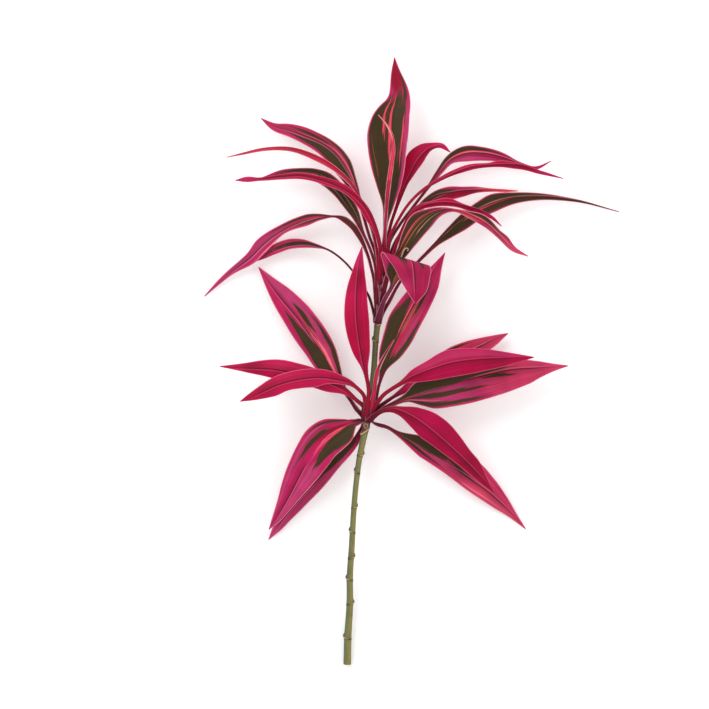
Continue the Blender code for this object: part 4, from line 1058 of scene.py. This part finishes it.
def underside_finish(name, deep, bright, stalk_colour, edge_highlight_colour, pattern=()):
    """The plain underside in two near shades, with a few streaks where the leaf has them."""
    material, tree, shader = new_material(name)
    places = leaf_places(tree)
    cloud = noise_in(tree, own_place(tree), 14.0)
    painted = blend_of(tree, above(tree, cloud, 0.42, 4.0), deep, bright)
    painted = paint_streaks(tree, painted, places, pattern, 7.0)
    # The edge colour is a painted highlight along the margin.
    finish_leaf(tree, shader, painted, places, {
        "Midrib": light(84, 0, 26), "Midrib from": 0.1, "Seed": 4.0, "Margin": edge_highlight_colour,
        "Painted highlight strength": 0.85, "Stalk colour": stalk_colour})
    return material


UNDERSIDE = underside_finish(
    "leaf_crimson_underside", light(168, 0, 54), light(184, 10, 72), light(158, 8, 44), light(240, 116, 146),
    [("magenta", 0.0, 0.0, 1.6, 0.84, 1.6, 0.2)])
# Its rose and cream streaks are painted highlights along the narrow young leaf, and its edge takes a near-white
# painted highlight.
BRIGHT_HIGHLIT_UNDERSIDE = underside_finish(
    "leaf_bright_underside_painted_highlight", light(190, 18, 66), light(214, 60, 100), light(200, 30, 70),
    light(252, 200, 208),
    [("rose", 0.4, 0.4, 0.3, 0.2, 1.2, 0.4), ("cream", 0.7, 0.6, 0.2, 0.2, 1.2, 0.4)])
FLAP_UNDERSIDE = underside_finish(
    "leaf_flap_underside", light(158, 12, 66), light(184, 40, 90), light(120, 24, 56), light(252, 190, 204),
    [("dark", -0.42, -0.34, 0.28, 0.46, 0.71, 0.5), ("dark", 0.4, 0.56, 0.22, 0.47, 0.7, 0.5),
     ("mauve", 0.2, 0.1, 0.12, 0.6, 0.9, 0.5)])
ROSY_UNDERSIDE = underside_finish(
    "leaf_rosy_underside", light(170, 4, 58), light(188, 20, 76), light(168, 12, 48), light(244, 130, 156))
# One half of this underside is painted paler in magenta and mauve, as if lit on that side of the keel.
LIT_HALF_UNDERSIDE = underside_finish(
    "leaf_underside_painted_lit_half", light(162, 0, 56), light(176, 6, 68), light(158, 8, 44), light(240, 116, 146),
    [("magenta", -0.62, -0.62, 0.5, 0.25, 1.2, 0.3), ("mauve", -0.6, -0.5, 0.25, 0.3, 1.1, 0.4)])
DEEP_UNDERSIDE = underside_finish(
    "leaf_deep_underside", light(146, 0, 48), light(166, 2, 62), light(140, 4, 38), light(236, 120, 146))
print("finishes made:", len(bpy.data.materials))

# %% [markdown]
# ## A leaf
# A real leaf is a thin strip, thick along its midrib and thin at its margin, folded a little into a keel.
# It could be extruded from an outline, but a grid with one row for each step can follow the midrib and carry
# the numbers that the finishes read. Solidify then gives it its thickness.

# %% Keel, waves and thickness
# Share of the half width over which the keel is rounded, and the half width that waves in full
KEEL_ROUNDING = 0.1
FULL_WAVE_AT = 8.0
# How much a stalk broadens at its foot, and the lengths over which that and the clasp fade
STALK_FLARE = 0.75
FLARE_REACH = 38.0
CLASP_REACH = 45.0
# Distance from the midrib at which the leaf is no longer thick, and its least half width
RIB_REACH = 1.6
THINNEST_HALF = 0.4


def leaf_lift(leaf, across, along, half):
    """Height of a point over the plane of its row: the keel and the waved edge."""
    slope = math.tan(math.radians(leaf["fold"])) * leaf["face"]
    height, count, start = leaf["wave"]
    keel = math.sqrt(across ** 2 + KEEL_ROUNDING ** 2) - KEEL_ROUNDING
    spread = min(1.0, half / FULL_WAVE_AT)
    wave = math.sin(2 * math.pi * (count * along + start) + across)
    return keel * half * slope + height * spread * across ** 2 * wave


def stalk_share(along, half):
    """1 on the narrow stalk and 0 on the blade. The tip is narrow too, but it is blade."""
    if along >= 0.5:
        return 0.0
    return 1.0 - min(1.0, max(0.0, (half - STALK_WIDTH / 2) / STALK_WIDTH))


def wrapped_place(wrap, across, place):
    """A point of the sheath, on its way from the cane's skin to its free place."""
    free, centre, right, up, turn, spread, radius = wrap
    angle = turn + spread * across
    on_cane = centre + (right * math.cos(angle) + up * math.sin(angle)) * radius
    return on_cane.lerp(place, free)


print("edge of a keel, 20 mm out:", round(leaf_lift(LEAVES["leaf_lower_01"], 1.0, 0.5, 20.0), 1), "mm")

# %% [markdown]
# ## The leaf as a piece
# Each vertex of the grid is read as a place on the leaf: how far across, and in which row.
# It keeps those numbers for the finishes, with a weight for its thickness, and then goes to its place.
# Solidify puts the second material on the other side, so a leaf that lies underside up has them swapped.

# %% Leaf maker
COLUMNS = 20
LAYERS = ("across", "along", "side_mm", "edge_mm", "stalk", "clasp")
RIB_THICKNESS = 2.2
MARGIN_SHARE = 0.3
# What the tip, the edges of a stalk and the bottom of a sheath lose of the full thickness
TIP_LOSS = 0.7
STALK_EDGE_LOSS = 0.6
SHEATH_LOSS = 0.6


def new_piece(name, shape, materials):
    """Make a bmesh into an object of the scene, at the origin."""
    mesh = bpy.data.meshes.new(name)
    shape.to_mesh(mesh)
    shape.free()
    for material in materials:
        mesh.materials.append(material)
    piece = bpy.data.objects.new(name, mesh)
    bpy.context.scene.collection.objects.link(piece)
    return piece


def make_leaf(name, leaf, upper, lower):
    """One leaf as its own piece, with its paint on the upper side."""
    rows = leaf_rows(leaf)
    left = [(row[0], row[1]) for row in leaf["outline"]]
    right = [(row[0], row[2]) for row in leaf["outline"]]
    shape = bmesh.new()
    bmesh.ops.create_grid(shape, x_segments=COLUMNS, y_segments=len(rows) - 1, size=0.5)
    layers = [shape.verts.layers.float.new(label) for label in LAYERS]
    weights = shape.verts.layers.deform.new()
    for vertex in shape.verts:
        across = 2.0 * vertex.co.x
        along, point, side, normal, wrap = rows[round((vertex.co.y + 0.5) * (len(rows) - 1))]
        half = max(THINNEST_HALF, eased(left if across < 0 else right, along))
        near_cane = (point - rows[0][1]).length
        stalk_here = stalk_share(along, half)
        half *= 1.0 + STALK_FLARE * stalk_here * math.exp(-(near_cane / FLARE_REACH) ** 2)
        clasp = max(0.0, 1.0 - near_cane / CLASP_REACH)
        values = (across, along, across * half, (1.0 - abs(across)) * half, stalk_here, clasp)
        for layer, value in zip(layers, values):
            vertex[layer] = value
        near_rib = math.exp(-(across * half / RIB_REACH) ** 2) * (1.0 - TIP_LOSS * along)
        weight = max(near_rib, stalk_here * (1.0 - STALK_EDGE_LOSS * across ** 2))
        place = point + side * across * half + normal * leaf_lift(leaf, across, along, half)
        if wrap:
            place = wrapped_place(wrap, across, place)
            weight *= 1.0 - SHEATH_LOSS * (1.0 - wrap[0])
        vertex[weights][0] = weight
        vertex.co = place * MM
    piece = new_piece(name, shape, (upper, lower) if leaf["face"] > 0 else (lower, upper))
    piece.data.shade_smooth()
    piece.vertex_groups.new(name="rib")
    body = piece.modifiers.new("thickness", "SOLIDIFY")
    body.thickness = RIB_THICKNESS * MM
    body.offset = 0.0
    body.vertex_group = "rib"
    body.thickness_vertex_group = MARGIN_SHARE
    body.material_offset = 1
    return piece


print("thinnest margin:", round(RIB_THICKNESS * MARGIN_SHARE, 2), "mm")

# %% [markdown]
# ## All the leaves
# Every leaf is made from its row of values, its pattern and its underside.
# Each one stands for a solid leaf of the frame, so it takes that leaf's place and rides on the same body.
# The few leaves whose upper side shows no midrib line have it left off.

# %% Make the leaves
OTHER_UNDERSIDES = {
    "leaf_upper_15": FLAP_UNDERSIDE, "leaf_lower_13": BRIGHT_HIGHLIT_UNDERSIDE, "leaf_lower_03": ROSY_UNDERSIDE,
    "leaf_lower_04": ROSY_UNDERSIDE, "leaf_lower_07": LIT_HALF_UNDERSIDE, "leaf_lower_09": DEEP_UNDERSIDE,
}
STALK_COLOURS = {
    "leaf_upper_01": light(86, 2, 28), "leaf_upper_04": light(172, 8, 46),
    "leaf_upper_08": light(76, 32, 26), "leaf_upper_11": light(150, 14, 46),
    "leaf_upper_15": light(112, 36, 66), "leaf_upper_16": light(186, 18, 56),
}
LEAVES_WITHOUT_RIB = ("leaf_upper_01", "leaf_upper_04", "leaf_upper_16")
FIRST_SEED = 10.0
SEED_STEP = 3.3
for number, (node, leaf) in enumerate(LEAVES.items()):
    upper = HIDDEN_SIDE
    if node in PATTERNS:
        rib_from = 1.0 if node in LEAVES_WITHOUT_RIB else 0.45
        stalk_colour = STALK_COLOURS.get(node, STALK)
        seed = FIRST_SEED + SEED_STEP * number
        upper = patterned_finish(node + "_pattern", PATTERNS[node], seed, stalk_colour, rib_from)
    lower = OTHER_UNDERSIDES.get(node, UNDERSIDE)
    piece = make_leaf(node.replace("leaf_", "living_leaf_"), leaf, upper, lower)
    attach(piece, "root")
    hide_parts(node)
print("leaves made:", len(LEAVES))

# %% [markdown]
# ## Rings, buds and the knob
# The real cane is a green stem as thick as a pencil, with a pale slanting ring and a bud at each old leaf.
# One ring is wide and slants the other way, and above it an old side shoot has left a swirled knob.
# The solid has only the slow swelling of the stem at each scar.
# Each of these is a small function that says how near a point of the cane is to it.

# %% Marks on the cane
RING_SLANT = 1.6
RING_WIDTH = 1.25
WIDE_SLANT = -6.0
WIDE_RING_WIDTH = 2.2
BUD_REACH = 3.4
BUD_PAST_RING = 2.6
BUD_SIDEWAYS = 10.0
KNOB_PLACE = -97.0
KNOB_SIDE = 95.0
KNOB_REACH = 5.2
KNOB_SIDEWAYS = 6.0
SWELL_REACH = 5.0
SWELL_HEIGHT = 0.45


def past_scar(place, angle, scar_place, scar_side):
    """How far a point is past a scar's slanting ring, in mm."""
    slant = WIDE_SLANT if scar_place == WIDE_SCAR else RING_SLANT
    return place - scar_place - slant * math.cos(math.radians(angle - scar_side))


def ring_and_bud(place, angle):
    """How near a point is to a scar's ring and to its bud, each from 0 to 1."""
    ring = bud = 0.0
    for scar_place, scar_side in SCARS:
        turn = math.radians(angle - scar_side)
        offset = past_scar(place, angle, scar_place, scar_side)
        wide = scar_place == WIDE_SCAR
        strength = 1.0 if wide else 0.45 + 0.55 * math.cos(turn / 2) ** 2
        width = WIDE_RING_WIDTH if wide else RING_WIDTH
        ring = max(ring, strength * math.exp(-(offset / width) ** 2))
        away = math.hypot(offset - BUD_PAST_RING, BUD_SIDEWAYS * math.sin(turn / 2))
        bud = max(bud, max(0.0, 1.0 - away / BUD_REACH))
    return ring, bud


def knob(place, angle):
    """How near a point is to the middle of the knob that an old side shoot left, from 0 to 1."""
    sideways = KNOB_SIDEWAYS * math.radians(angle - KNOB_SIDE)
    return max(0.0, 1.0 - math.hypot(place - KNOB_PLACE, sideways) / KNOB_REACH)


def scar_swell(place, angle):
    """The slow swelling of the stem at its scars, as the solid has it but lower."""
    swell = 0.0
    for scar_place, scar_side in SCARS:
        away = abs(place - scar_place) / SWELL_REACH
        if away < 1.0:
            facing = 0.65 + 0.35 * math.cos(math.radians(angle - scar_side))
            swell += SWELL_HEIGHT * facing * (1.0 - away) ** 2 * (1.0 + 2.0 * away)
    return swell


print("scars on the cane:", len(SCARS))

# %% [markdown]
# ## The cane
# A swept curve would be quick, but the rings and buds need their own bulges.
# So a grid is rolled into a tube along the line, and each vertex is pushed out by the marks near it.
# The same numbers stay on the vertices, and the finish reads them.

# %% Cane maker
CANE_SIDES = 40
CANE_ROWS = 640
CANE_LAYERS = ("ring", "bud", "knob", "facing_right", "past_wide_scar")
RING_HEIGHT = 0.6
BUD_HEIGHT = 1.9
GRAIN_HEIGHT = 0.12
GRAIN_LENGTH = 30
GRAIN_ROUND = 1.5
KNOB_HEIGHT = 3.6
KNOB_GROOVE = 0.9
# The groove's place between the knob's foot, 0, and its middle, 1, and its half width there
GROOVE_AT = 0.55
GROOVE_WIDTH = 0.12
# These are in metres: the welded gap, and the rim and depth of a cut end
WELD_DISTANCE = 0.00002
CUT_RIM = 0.0006
CUT_DEPTH = 0.0002


def close_tube(shape):
    """Weld a rolled grid along its seam and fill its two ends. Gives back the end faces."""
    bmesh.ops.remove_doubles(shape, verts=shape.verts, dist=WELD_DISTANCE)
    open_edges = [edge for edge in shape.edges if edge.is_boundary]
    return bmesh.ops.holes_fill(shape, edges=open_edges)["faces"]


def round_tube(forward, turn):
    """Unit direction from the middle of a tube to its skin, at an angle round it."""
    right = forward.cross(UP).normalized()
    return right * math.cos(turn) + right.cross(forward) * math.sin(turn)


def make_cane(material, cut_material):
    """The cane, with its rings, buds and filled ends."""
    centres = smooth_route(CANE_LINE, CANE_ROWS)
    forwards = directions(centres)
    wide_side = dict(SCARS)[WIDE_SCAR]
    shape = bmesh.new()
    bmesh.ops.create_grid(shape, x_segments=CANE_SIDES, y_segments=CANE_ROWS, size=0.5)
    layers = [shape.verts.layers.float.new(label) for label in CANE_LAYERS]
    for vertex in shape.verts:
        angle = 360.0 * (vertex.co.x + 0.5)
        row = round((vertex.co.y + 0.5) * CANE_ROWS)
        centre = centres[row]
        turn = math.radians(angle)
        ring, bud = ring_and_bud(centre.y, angle)
        lump = knob(centre.y, angle)
        around = Vector((math.cos(turn) * GRAIN_ROUND, math.sin(turn) * GRAIN_ROUND, centre.y / GRAIN_LENGTH))
        radius = eased(CANE_RADII, centre.y) + scar_swell(centre.y, angle)
        radius += RING_HEIGHT * ring + BUD_HEIGHT * bud ** 0.6
        radius += GRAIN_HEIGHT * noise.noise(around) + KNOB_HEIGHT * lump ** 0.5
        radius -= KNOB_GROOVE * max(0.0, 1.0 - abs(lump - GROOVE_AT) / GROOVE_WIDTH)
        past_wide = past_scar(centre.y, angle, WIDE_SCAR, wide_side)
        for layer, value in zip(layers, (ring, bud, lump, math.cos(turn), past_wide)):
            vertex[layer] = value
        vertex.co = (centre + round_tube(forwards[row], turn) * radius) * MM
    ends = close_tube(shape)
    rims = bmesh.ops.inset_region(shape, faces=ends, thickness=CUT_RIM, depth=-CUT_DEPTH)["faces"]
    bmesh.ops.recalc_face_normals(shape, faces=shape.faces)
    for face in ends:
        face.material_index = 1
    for face in shape.faces:
        face.smooth = len(face.verts) < 5
    print("cut ends inset by", len(rims), "faces")
    return new_piece("living_cane", shape, (material, cut_material))


print("cane grid:", CANE_SIDES, "by", CANE_ROWS)

# %% [markdown]
# ## Cane finish: the stem
# The stem is painted green on its shaded left side and golden olive on its lit right side, with painted shade
# towards both edges.
# It is purple among the upper leaves, deep red among the lower ones and in brown shade between the two.
# Long fine streaks run up it, with darker threads and blotches.

# %% Stem colours
FIBRE_SCALE = (420.0, 16.0, 420.0)
# Places along the cane (Y), in metres
PURPLE_FROM = 0.056
SHADE_FROM = -0.045
RED_UP_TO = -0.043


def stem_colour(tree, fibres, mottle, along):
    """The green stem, with its painted lit side, painted shade at its edges, threads and blotches."""
    facing = attribute(tree, "facing_right")
    # Painted light: golden olive on the right side as if lit, green on the left as if shaded.
    painted_lit_side = sum_of(tree, "MULTIPLY_ADD", facing, 0.75, 0.5)
    painted_lit_side = swayed(tree, fibres, 1.3, painted_lit_side, clamp=True)
    colour = blend_of(tree, painted_lit_side, light(94, 106, 68), light(138, 124, 50))
    # Painted shade: darker towards both edges of the cane, where its surface turns away.
    rim = above(tree, sum_of(tree, "ABSOLUTE", facing), 0.72, 2.6)
    colour = blend_of(tree, rim, colour, light(62, 66, 36))
    colour = faint_blend(tree, above(tree, fibres, 0.56, 9.0), 0.45, colour, light(64, 72, 36))
    colour = faint_blend(tree, above(tree, mottle, 0.52, 5.0), 0.4, colour, light(74, 78, 40))
    purple = above(tree, along, PURPLE_FROM, 90.0)
    colour = blend_of(tree, purple, colour, light(104, 30, 52))
    from_scar = sum_of(tree, "MULTIPLY", attribute(tree, "past_wide_scar"), 0.8, clamp=True)
    below_shoot = sum_of(tree, "SUBTRACT", RED_UP_TO, along)
    below_shoot = sum_of(tree, "MULTIPLY", below_shoot, 200.0, clamp=True)
    among_leaves = sum_of(tree, "MULTIPLY", from_scar, below_shoot)
    colour = blend_of(tree, among_leaves, colour, light(92, 12, 34))
    shaded = above(tree, along, SHADE_FROM, 40.0)
    shaded = sum_of(tree, "MULTIPLY", shaded, sum_of(tree, "SUBTRACT", 1.0, purple))
    return faint_blend(tree, shaded, 0.5, colour, light(66, 58, 24))


print("stem streaks are", round(FIBRE_SCALE[0] / FIBRE_SCALE[1]), "times as long as wide")

# %% [markdown]
# ## Cane finish: the marks
# The knob is dark with pale swirls, and the buds are brown.
# A ring is tan with a dark band round it painted as its shadow, and a brown line along its middle.
# They are laid over the stem in that order.

# %% Colours of the marks


def mark_colours(tree, colour):
    """The knob, buds and rings over the colour of the stem."""
    ring = attribute(tree, "ring")
    bud = attribute(tree, "bud")
    lump = attribute(tree, "knob")
    colour = blend_of(tree, sum_of(tree, "MULTIPLY", lump, 8.0, clamp=True), colour, light(60, 28, 18))
    swirls = above(tree, sum_of(tree, "SINE", sum_of(tree, "MULTIPLY", lump, 15.0)), 0.35, 2.0)
    swirls = sum_of(tree, "MULTIPLY", swirls, sum_of(tree, "MULTIPLY", lump, 6.0, clamp=True))
    colour = blend_of(tree, swirls, colour, light(214, 166, 128))
    colour = blend_of(tree, sum_of(tree, "MULTIPLY", bud, 1.1, clamp=True), colour, light(74, 46, 24))
    # Painted shadow: a dark band round each ring.
    colour = blend_of(tree, above(tree, ring, 0.08, 6.0), colour, light(66, 50, 30))
    colour = faint_blend(tree, above(tree, ring, 0.52, 5.0), 0.85, colour, light(204, 172, 124))
    return blend_of(tree, above(tree, ring, 0.9, 12.0), colour, light(92, 62, 40))


print("marks painted: knob, buds and rings")

# %% [markdown]
# ## The finished cane
# The stem's fibres are a noise stretched along the cane, and they give the bumps and the gloss as well.
# The cut end shows dry fibres in two colours, and the same finish serves for the dry curl.

# %% Make the cane


def cane_finish():
    """Skin of the young stem with its marks."""
    material, tree, shader = new_material("cane_skin")
    where = own_place(tree)
    stretch = tree.nodes.new("ShaderNodeMapping")
    stretch.inputs["Scale"].default_value = FIBRE_SCALE
    plug(tree, stretch.inputs["Vector"], where)
    fibres = noise_in(tree, stretch.outputs[0], 1.0, 3.0)
    mottle = noise_in(tree, where, 60.0)
    parts = tree.nodes.new("ShaderNodeSeparateXYZ")
    plug(tree, parts.inputs[0], where)
    colour = mark_colours(tree, stem_colour(tree, fibres, mottle, parts.outputs["Y"]))
    plug(tree, shader.inputs["Base Color"], colour)
    plug(tree, shader.inputs["Roughness"], sum_of(tree, "MULTIPLY_ADD", fibres, 0.25, 0.4))
    bumpy(tree, shader, fibres, 0.4)
    return material


def fibre_finish(name, scale, pale, dark, roughness):
    """Dry fibres in two colours, for the cut end and the dry curl."""
    material, tree, shader = new_material(name)
    fibres = noise_in(tree, own_place(tree), scale)
    plug(tree, shader.inputs["Base Color"], blend_of(tree, fibres, pale, dark))
    plug(tree, shader.inputs["Roughness"], sum_of(tree, "MULTIPLY_ADD", fibres, *roughness))
    return material


cut_end = fibre_finish("cane_cut_end", 900.0, light(196, 182, 128), light(150, 132, 82), (0.2, 0.6))
cane = make_cane(cane_finish(), cut_end)
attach(cane, "root")
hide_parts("cane")
print("cane faces:", len(cane.data.polygons))

# %% [markdown]
# ## A dry curl
# One leaf has a small dry strip at its foot that curled up into a hook.
# It is rolled up from a grid in the same way as the cane, only much smaller, and it tapers to its end.

# %% Dry curl
CURL_ROUTE = [
    (-16, 153, 85), (-13.5, 159, 89), (-11, 165, 92), (-7.5, 167.5, 93), (-4.8, 165.5, 93), (-6.3, 163, 92)]
CURL_ROWS = 40
CURL_SIDES = 12
CURL_RADIUS = 1.25
CURL_TAPER = 0.5


def make_curl(material):
    """A thin hook that tapers to its end."""
    centres = smooth_route([Vector(point) for point in CURL_ROUTE], CURL_ROWS)
    forwards = directions(centres)
    shape = bmesh.new()
    bmesh.ops.create_grid(shape, x_segments=CURL_SIDES, y_segments=CURL_ROWS, size=0.5)
    for vertex in shape.verts:
        turn = 2.0 * math.pi * (vertex.co.x + 0.5)
        row = round((vertex.co.y + 0.5) * CURL_ROWS)
        radius = CURL_RADIUS - CURL_TAPER * row / CURL_ROWS
        vertex.co = (centres[row] + round_tube(forwards[row], turn) * radius) * MM
    close_tube(shape)
    bmesh.ops.recalc_face_normals(shape, faces=shape.faces)
    piece = new_piece("dry_curl", shape, (material,))
    piece.data.shade_smooth()
    return piece


dry_strip = fibre_finish("dry_strip", 500.0, light(236, 206, 186), light(150, 92, 66), (0.3, 0.5))
curl = make_curl(dry_strip)
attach(curl, "root")
print("curl faces:", len(curl.data.polygons))

# %% [markdown]
# ## Table
# The plant lies on a plain pale table that glows a little, as in a light tent.
# The glow keeps the soft shadows faint.

# %% Table
TABLE_HALF = 4.0
TABLE_LOOK = {
    "Base Color": (0.92, 0.92, 0.92, 1.0), "Emission Color": (1.0, 1.0, 1.0, 1.0),
    "Emission Strength": 0.2, "Roughness": 0.9, "Specular IOR Level": 0.1,
}
table_white, _, table_shader = new_material("table_white")
for label, value in TABLE_LOOK.items():
    table_shader.inputs[label].default_value = value
table_shape = bmesh.new()
bmesh.ops.create_grid(table_shape, x_segments=1, y_segments=1, size=TABLE_HALF)
table = new_piece("pale_table", table_shape, (table_white,))
print("table faces:", len(table.data.polygons))

# %% [markdown]
# ## Light and camera
# Soft light comes from all round, with two large lamps that give the leaves a little shape.
# The camera looks straight down from six metres with a long lens, so the leaves keep their true shapes.

# %% Light
SKY_STRENGTH = 0.80
sky = bpy.data.worlds.new("soft_sky")
sky.use_nodes = True
sky.node_tree.nodes["Background"].inputs["Color"].default_value = (1.0, 1.0, 1.0, 1.0)
sky.node_tree.nodes["Background"].inputs["Strength"].default_value = SKY_STRENGTH
bpy.context.scene.world = sky


def soft_light(name, place, power, size):
    """A large square lamp that looks at the middle of the plant."""
    lamp = bpy.data.lights.new(name, "AREA")
    lamp.energy = power
    lamp.size = size
    holder = bpy.data.objects.new(name, lamp)
    holder.location = place
    holder.rotation_euler = (-Vector(place)).to_track_quat("-Z", "Y").to_euler()
    bpy.context.scene.collection.objects.link(holder)


soft_light("window_light", (-1.6, 1.8, 2.6), 46.0, 2.0)
soft_light("fill_light", (2.2, -0.6, 2.8), 20.0, 2.6)
print("lamps:", len(bpy.data.lights))

# %% Camera
CAMERA_PLACE = (-0.085, 0.009, 6.0)
LENS_LENGTH = 201.4
SENSOR_WIDTH = 36.0
lens = bpy.data.cameras.new("overhead_camera")
lens.sensor_width = SENSOR_WIDTH
lens.lens = LENS_LENGTH
camera = bpy.data.objects.new("overhead_camera", lens)
camera.location = CAMERA_PLACE
bpy.context.scene.collection.objects.link(camera)
bpy.context.scene.camera = camera
bpy.context.scene.view_settings.view_transform = "Standard"
print("camera height:", camera.location.z, "m")
